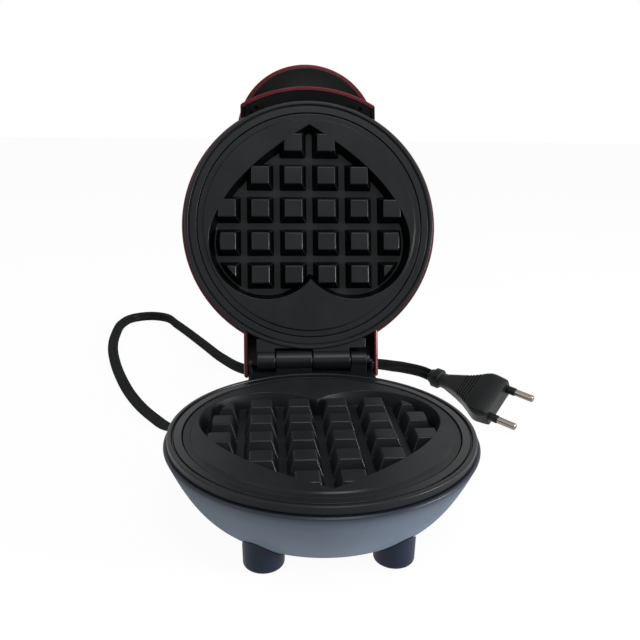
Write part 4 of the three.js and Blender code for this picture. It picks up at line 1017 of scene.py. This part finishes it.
def base_shell():
    s = shell
    outer = side_curve(s)[::-1]
    inner = side_curve(s, -s.wall)[1:]
    lip = rounded([
        outer[-2],
        (body.rim_radius, -s.bulge_depth, 0.5),
        (s.lip_outer, -s.lip_depth, 0.5),
        (s.lip_inner, -s.lip_depth, 0.3),
        (s.lip_inner, -s.bulge_depth - s.wall),
    ])[1:]
    floor = -s.depth
    below = floor - body.overrun
    bowl = revolve([(0, floor), *outer[:-1], *lip, *inner, (0, floor + s.wall)])
    boss = moved(rod(-relief.boss_inward, relief.boss_proud, relief.boss_radius, 0.3), EXIT)
    keep(boss, post(0, 0, body.rim_radius, floor, 0, ROUND))
    join(bowl, boss, posts(post_places, base_post.radius, floor + s.wall / 2, base_post.top))
    return cut(
        bowl,
        hinge_block(body.clear),
        posts(post_places, base_post.bore, below, base_post.top + body.overrun, HOLE_ROUND),
        posts(post_places, base_post.counterbore, below, floor + base_post.counterbore_depth),
        posts(foot_places, base_post.bore, below, -s.upper_bend_depth, HOLE_ROUND),
        moved(rod(-relief.cut_reach, relief.cut_reach, relief.collar_radius + body.clear), EXIT),
        moved(rod(-relief.cut_reach, -relief.boss_inward, relief.flange_radius + body.clear), EXIT),
    )


def foot_shape(x, y):
    f = foot
    bottom = f.pad_proud - body.plate_height
    top = -shell.upper_bend_depth
    profile = rounded([
        (0, bottom), (f.bottom_radius, bottom, f.bottom_ease), (f.top_radius, top), (0, top),
    ], 8)
    pad_top = -body.plate_height + f.pad_thickness + body.clear
    return cut(
        moved(revolve(profile, LEG_ROUND), shift(x, y, 0)),
        full_form(shell, body.clear),
        post(x, y, f.pad_radius + body.clear, bottom - body.overrun, pad_top),
        post(x, y, f.screw_room, bottom, -body.plate_height + f.screw_rise),
        post(x, y, base_post.bore, bottom, top, HOLE_ROUND),
    )


place(base_shell(), "bowl", BASE, ["bowl"], "base", "bowl", "base_shell")
for where, (x, y) in zip(CORNERS, foot_places):
    place(foot_shape(x, y), f"leg_{where}", BASE, ["foot"], "base", "foot_plastic", f"foot_{where}")

# The lid

lid_screw_places = [(side * lid_screw.aside, -lid_screw.forward) for side in (-1, 1)]


def handle_front(grow):
    h = handle
    half = h.half + grow
    radius = h.front_radius + grow
    aside = math.degrees(math.asin(half / radius))
    front = arc(0, -h.front_centre, radius, 270 - aside, 270 + aside, h.steps)
    return [(-half, -h.start)] + front + [(half, -h.start)]


def lip_outline(radius, centre):
    return arc(0, -centre, radius, 180, 360, handle.steps)


def handle_outer():
    h = handle
    front = ease(prism(handle_front(0), -h.depth, -h.top), h.edge)
    low = -h.lip_top - h.lip_thickness
    lip = ease(prism(lip_outline(h.lip_radius, h.lip_centre), low, -h.lip_top), h.edge)
    roof = skin([
        [(x, y, z) for x, y in lip_outline(radius, centre)] for radius, centre, z in (
            (h.roof_radius, h.roof_centre, -h.roof_depth),
            (h.lip_radius - h.roof_inset, h.lip_centre, low + h.roof_sunk),
        )
    ])
    return join(front, lip, roof)


def tail_profile(inset):
    t = tail
    lift = body.overrun if inset else 0.0
    return [
        (t.start, -t.edge_drop + lift),
        (t.end - inset, -t.edge_drop + lift),
        (t.end - inset, -t.depth + t.corner + inset / 2),
        (t.end - t.corner - inset / 2, -t.depth + inset),
        (t.start, -t.front_depth + inset),
    ]


def lid_shell():
    h = handle
    far = body.overrun
    tail_inside = tail.half - tail.wall
    outer = join(
        full_form(dome, 0.0),
        ease(sideways(tail_profile(0), -tail.half, tail.half), tail.edge, 4),
        handle_outer(),
    )
    top = block(
        (-body.rim_radius - far, body.rim_radius + far),
        (-h.lip_centre - h.lip_radius, hinge.axis_back),
        (-shell.lip_depth, far),
    )
    cut(top, sideways(tail_profile(0), -tail.half, tail.half))
    room = revolve([
        (0, -dome.depth + dome.wall),
        *side_curve(dome, -dome.wall)[::-1],
        (shell.lip_outer - dome.wall, -shell.lip_depth),
        (0, -shell.lip_depth),
    ], index=1)
    neck = post(0, 0, shell.lip_inner, -shell.bulge_depth - dome.wall, far, ROUND, 1)
    mouth = post(0, 0, bezel.outer_radius + body.clear, -shell.lip_depth, far, ROUND, 1)
    inner_tail = sideways(tail_profile(tail.wall), -tail_inside, tail_inside, 1)
    rear = (tail.end - tail.wall - far, tail.end + far)
    rear_door = block((-tail_inside, tail_inside), rear, (-tail.rear_top, far), 1)
    handle_room = prism(handle_front(-h.wall), -h.depth + h.wall, far, 1)
    inside = (room, neck, mouth, inner_tail, rear_door, handle_room)
    wear(("red", "black"), outer, *inside)
    cut(outer, top)
    cut(outer, *inside)
    boss_top = -h.top - h.flange_thickness - body.clear
    bosses = posts(lid_screw_places, lid_screw.boss_radius, -h.depth + h.wall / 2, boss_top, index=1)
    wear(("red", "black"), bosses)
    join(outer, bosses)
    holes = posts(
        lid_screw_places, lid_screw.hole_radius, -h.depth + h.wall + body.clear, -h.top, HOLE_ROUND,
    )
    lens_hole = post(0, 0, lens.radius + body.clear, -dome.depth - far, -dome.depth + dome.wall + far)
    return cut(outer, holes, lens_hole)


def turned(span):
    """A span along X on the lid, which is drawn face up and then turned over."""
    return (-span[1], -span[0])


def handle_side_trims():
    """Two strips of painted shade that lie on the edges of the handle's side walls."""
    h = handle
    heights = (-h.top - h.trim_inset, -h.top + h.trim_rise)
    trims = [
        block(across, (-h.trim_front, -h.trim_back), heights, 1)
        for across in both_sides(h.half - h.trim_inset, h.half - h.wall)
    ]
    wear(("black", "painted_shade"), *trims)
    return [ease(trim, h.trim_rise / 2) for trim in trims]


def handle_flange():
    h = handle
    outline = handle_front(-h.wall - body.clear)
    low = -h.top - h.flange_thickness
    # The flange and its skirt lie in the recess behind the lip, and take the painted shade look
    sheet = prism(outline, low, -h.top, 1)
    skirt = prism(outline, low, -bezel.side_height, 1)
    wear(("black", "painted_shade"), sheet, skirt)
    keep(skirt, post(0, 0, bezel.spigot_outer, low, -bezel.side_height, ROUND))
    join(sheet, skirt)
    below = low - body.overrun
    holes = posts(lid_screw_places, lid_screw.hole_radius, below, -h.top + body.overrun, HOLE_ROUND)
    cut(sheet, inside_spigot(below), holes)
    return together(sheet, *handle_side_trims())


def lid_liner():
    p = panel
    h = hinge
    rise = body.closed_gap - h.axis_rise
    face = block((-p.half, p.half), (p.front, h.axis_back), (-p.drop - p.thickness, -p.drop))
    ease(face, p.edge)
    join(face, *[
        block(across, (p.front, p.flange_back), (-p.flange_depth, -p.drop - p.flange_sunk))
        for across in both_sides(p.half, p.half - p.flange_thickness)
    ])
    low = -p.flange_depth - body.overrun
    slots = [
        block(
            (x0 - p.slot_side, x1 + p.slot_side),
            (h.axis_back - p.slot_reach, h.axis_back + h.barrel_radius + body.overrun),
            (low, h.barrel_radius),
        )
        for x0, x1 in (turned(h.base_inner), turned(h.base_outer))
    ]
    cut(face, *slots, inside_spigot(low))
    spans = (turned(h.lid_inner), turned(h.lid_outer))
    join(face, *[on_axis(span, h.barrel_radius, h.edge, rise) for span in spans])
    ring = bezel_ring()
    wear(("black", "painted_shade"), ring, face)
    whole = join(ring, face, handle_flange())
    return cut(whole, on_axis((-h.block_half, h.block_half), h.pin_hole_radius, rise=rise))


def handle_grip():
    h = handle
    low = -h.lip_top + body.clear
    high = low + h.grip_thickness
    crescent = prism(lip_outline(h.lip_radius - h.grip_inset, h.lip_centre), low, high)
    ease(crescent, h.grip_edge)
    return cut(crescent, prism(handle_front(h.grip_front_gap), low - body.overrun, high + body.overrun))


def lens_shape():
    outside = -dome.depth
    inside = outside + dome.wall + body.clear
    return revolve(rounded([
        (0, outside - lens.rise),
        (lens.radius - lens.crown_inset, outside - lens.rise, lens.edge),
        (lens.radius, inside),
        (lens.flange_radius, inside),
        (lens.flange_radius, inside + lens.flange_thickness),
        (0, inside + lens.flange_thickness),
    ]), LEG_ROUND)


place(lid_shell(), "lid_cover", LID, ["red", "black"], "lid", "lid_cover", "lid_shell")
place(lid_liner(), "lid_rim", LID, ["black", "painted_shade"], "lid", "black_plastic", "lid_liner")
place(handle_grip(), "lip_pad", LID, ["pad"], "lid", "black_plastic", "handle_grip")
# A painted pool of light on the lip's pad: lightest towards the handle's front, darker away from it
pad_front = -handle.front_radius - handle.front_centre - body.overrun
pad_light_centre = LID @ Vector((0, pad_front, -handle.lip_top)) * MILLIMETRES
paint_light_and_shade("pad", lambda tree: away_from(tree, pad_light_centre, PAD_LIGHT_STRETCH, PAD_LIGHT_REACH), PAD_PAINTED_LIGHT)
place(lens_shape(), "lamp_window", LID, ["lens"], "lid", "lens", "indicator_lens")

# Finishes of the parts that stay as the frame has them

kept_finishes = {
    "steel": ["lower_heating_element", "upper_heating_element"]
    + [f"{plate_name}_screw_{i}" for plate_name in ("base", "upper_plate") for i in (1, 2, 3)]
    + [f"foot_screw_{where}" for where in CORNERS],
    "dark_steel": ["hinge_pin"],
    # The lid screws sit in that recess and take its painted shade
    "painted_shade": ["lid_screw_1", "lid_screw_2"],
    "rubber": [f"foot_pad_{where}" for where in CORNERS],
    "aluminised": ["lower_reflector", "upper_reflector"],
    "ceramic": ["thermostat", "indicator_lamp"],
    "nickel": ["thermal_fuse"],
    "black": ["cord_clamp"],
    "lead": ["live_lead", "neutral_lead", "bridge_lead"],
}
for key, names in kept_finishes.items():
    for name in names:
        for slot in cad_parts[name].material_slots:
            slot.material = looks[key]

# Floor, world and light, in metres and watts

stage = Sizes(floor_reach=6.0, floor_grey=0.86, floor_glow=0.95, bounced_light=0.55)
WHITE = (1, 1, 1, 1)
lamps = [
    ("key", (1.1, -0.4, 0.26), (0, 0, 0.08), (0.35, 0.3), 19.0),
    ("overhead", (0.15, -0.5, 1.0), (0, 0, 0.05), (0.4, 0.4), 5.0),
    ("fill", (-0.9, -0.5, 0.6), (0, 0, 0.08), (0.8, 0.8), 2.2),
]


def seen_directly(tree):
    """1 where a camera, glossy or transmission ray looks, 0 for light that bounces."""
    rays = node(tree, "LightPath").outputs
    seen = rays["Is Camera Ray"]
    for other in ("Is Glossy Ray", "Is Transmission Ray"):
        seen = node(tree, "Math", {0: seen, 1: rays[other]}, operation="MAXIMUM").outputs[0]
    return seen


def floor_look():
    look = bpy.data.materials.new("pale_floor")
    look.use_nodes = True
    tree = look.node_tree
    tree.nodes.clear()
    matt = node(tree, "BsdfDiffuse", {"Color": (*[stage.floor_grey] * 3, 1)})
    glow = node(tree, "Emission", {"Strength": 1.0})
    share = node(tree, "Math", {0: seen_directly(tree), 1: stage.floor_glow}, operation="MULTIPLY")
    blend = node(tree, "MixShader", {0: share.outputs[0], 1: matt.outputs[0], 2: glow.outputs[0]})
    node(tree, "OutputMaterial", {"Surface": blend.outputs[0]})
    return look


def make_floor():
    mesh = bpy.data.meshes.new("floor")
    far = stage.floor_reach
    mesh.from_pydata([(sx * far, sy * far, 0) for sx, sy in SQUARE], [], [(0, 1, 2, 3)])
    floor = link(mesh)
    floor.name = "floor"
    mesh.materials.append(floor_look())


def make_world():
    world = bpy.data.worlds.new("studio")
    world.use_nodes = True
    tree = world.node_tree
    inputs = tree.nodes["Background"].inputs
    inputs["Color"].default_value = WHITE
    strength = remap(tree, seen_directly(tree), (0.0, 1.0), (stage.bounced_light, 1.0))
    tree.links.new(strength, inputs["Strength"])
    bpy.context.scene.world = world


def add_lamp(name, at, aim, size, power):
    data = bpy.data.lights.new(name, "AREA")
    data.shape = "RECTANGLE"
    data.size, data.size_y = size
    data.energy = power
    away = Vector(at) - Vector(aim)
    facing = away.to_track_quat("Z", "Y").to_matrix().to_4x4()
    put_in_scene(name, data).matrix_world = Matrix.Translation(at) @ facing


make_floor()
make_world()
for lamp in lamps:
    add_lamp(*lamp)
bpy.context.scene.view_settings.view_transform = "Standard"
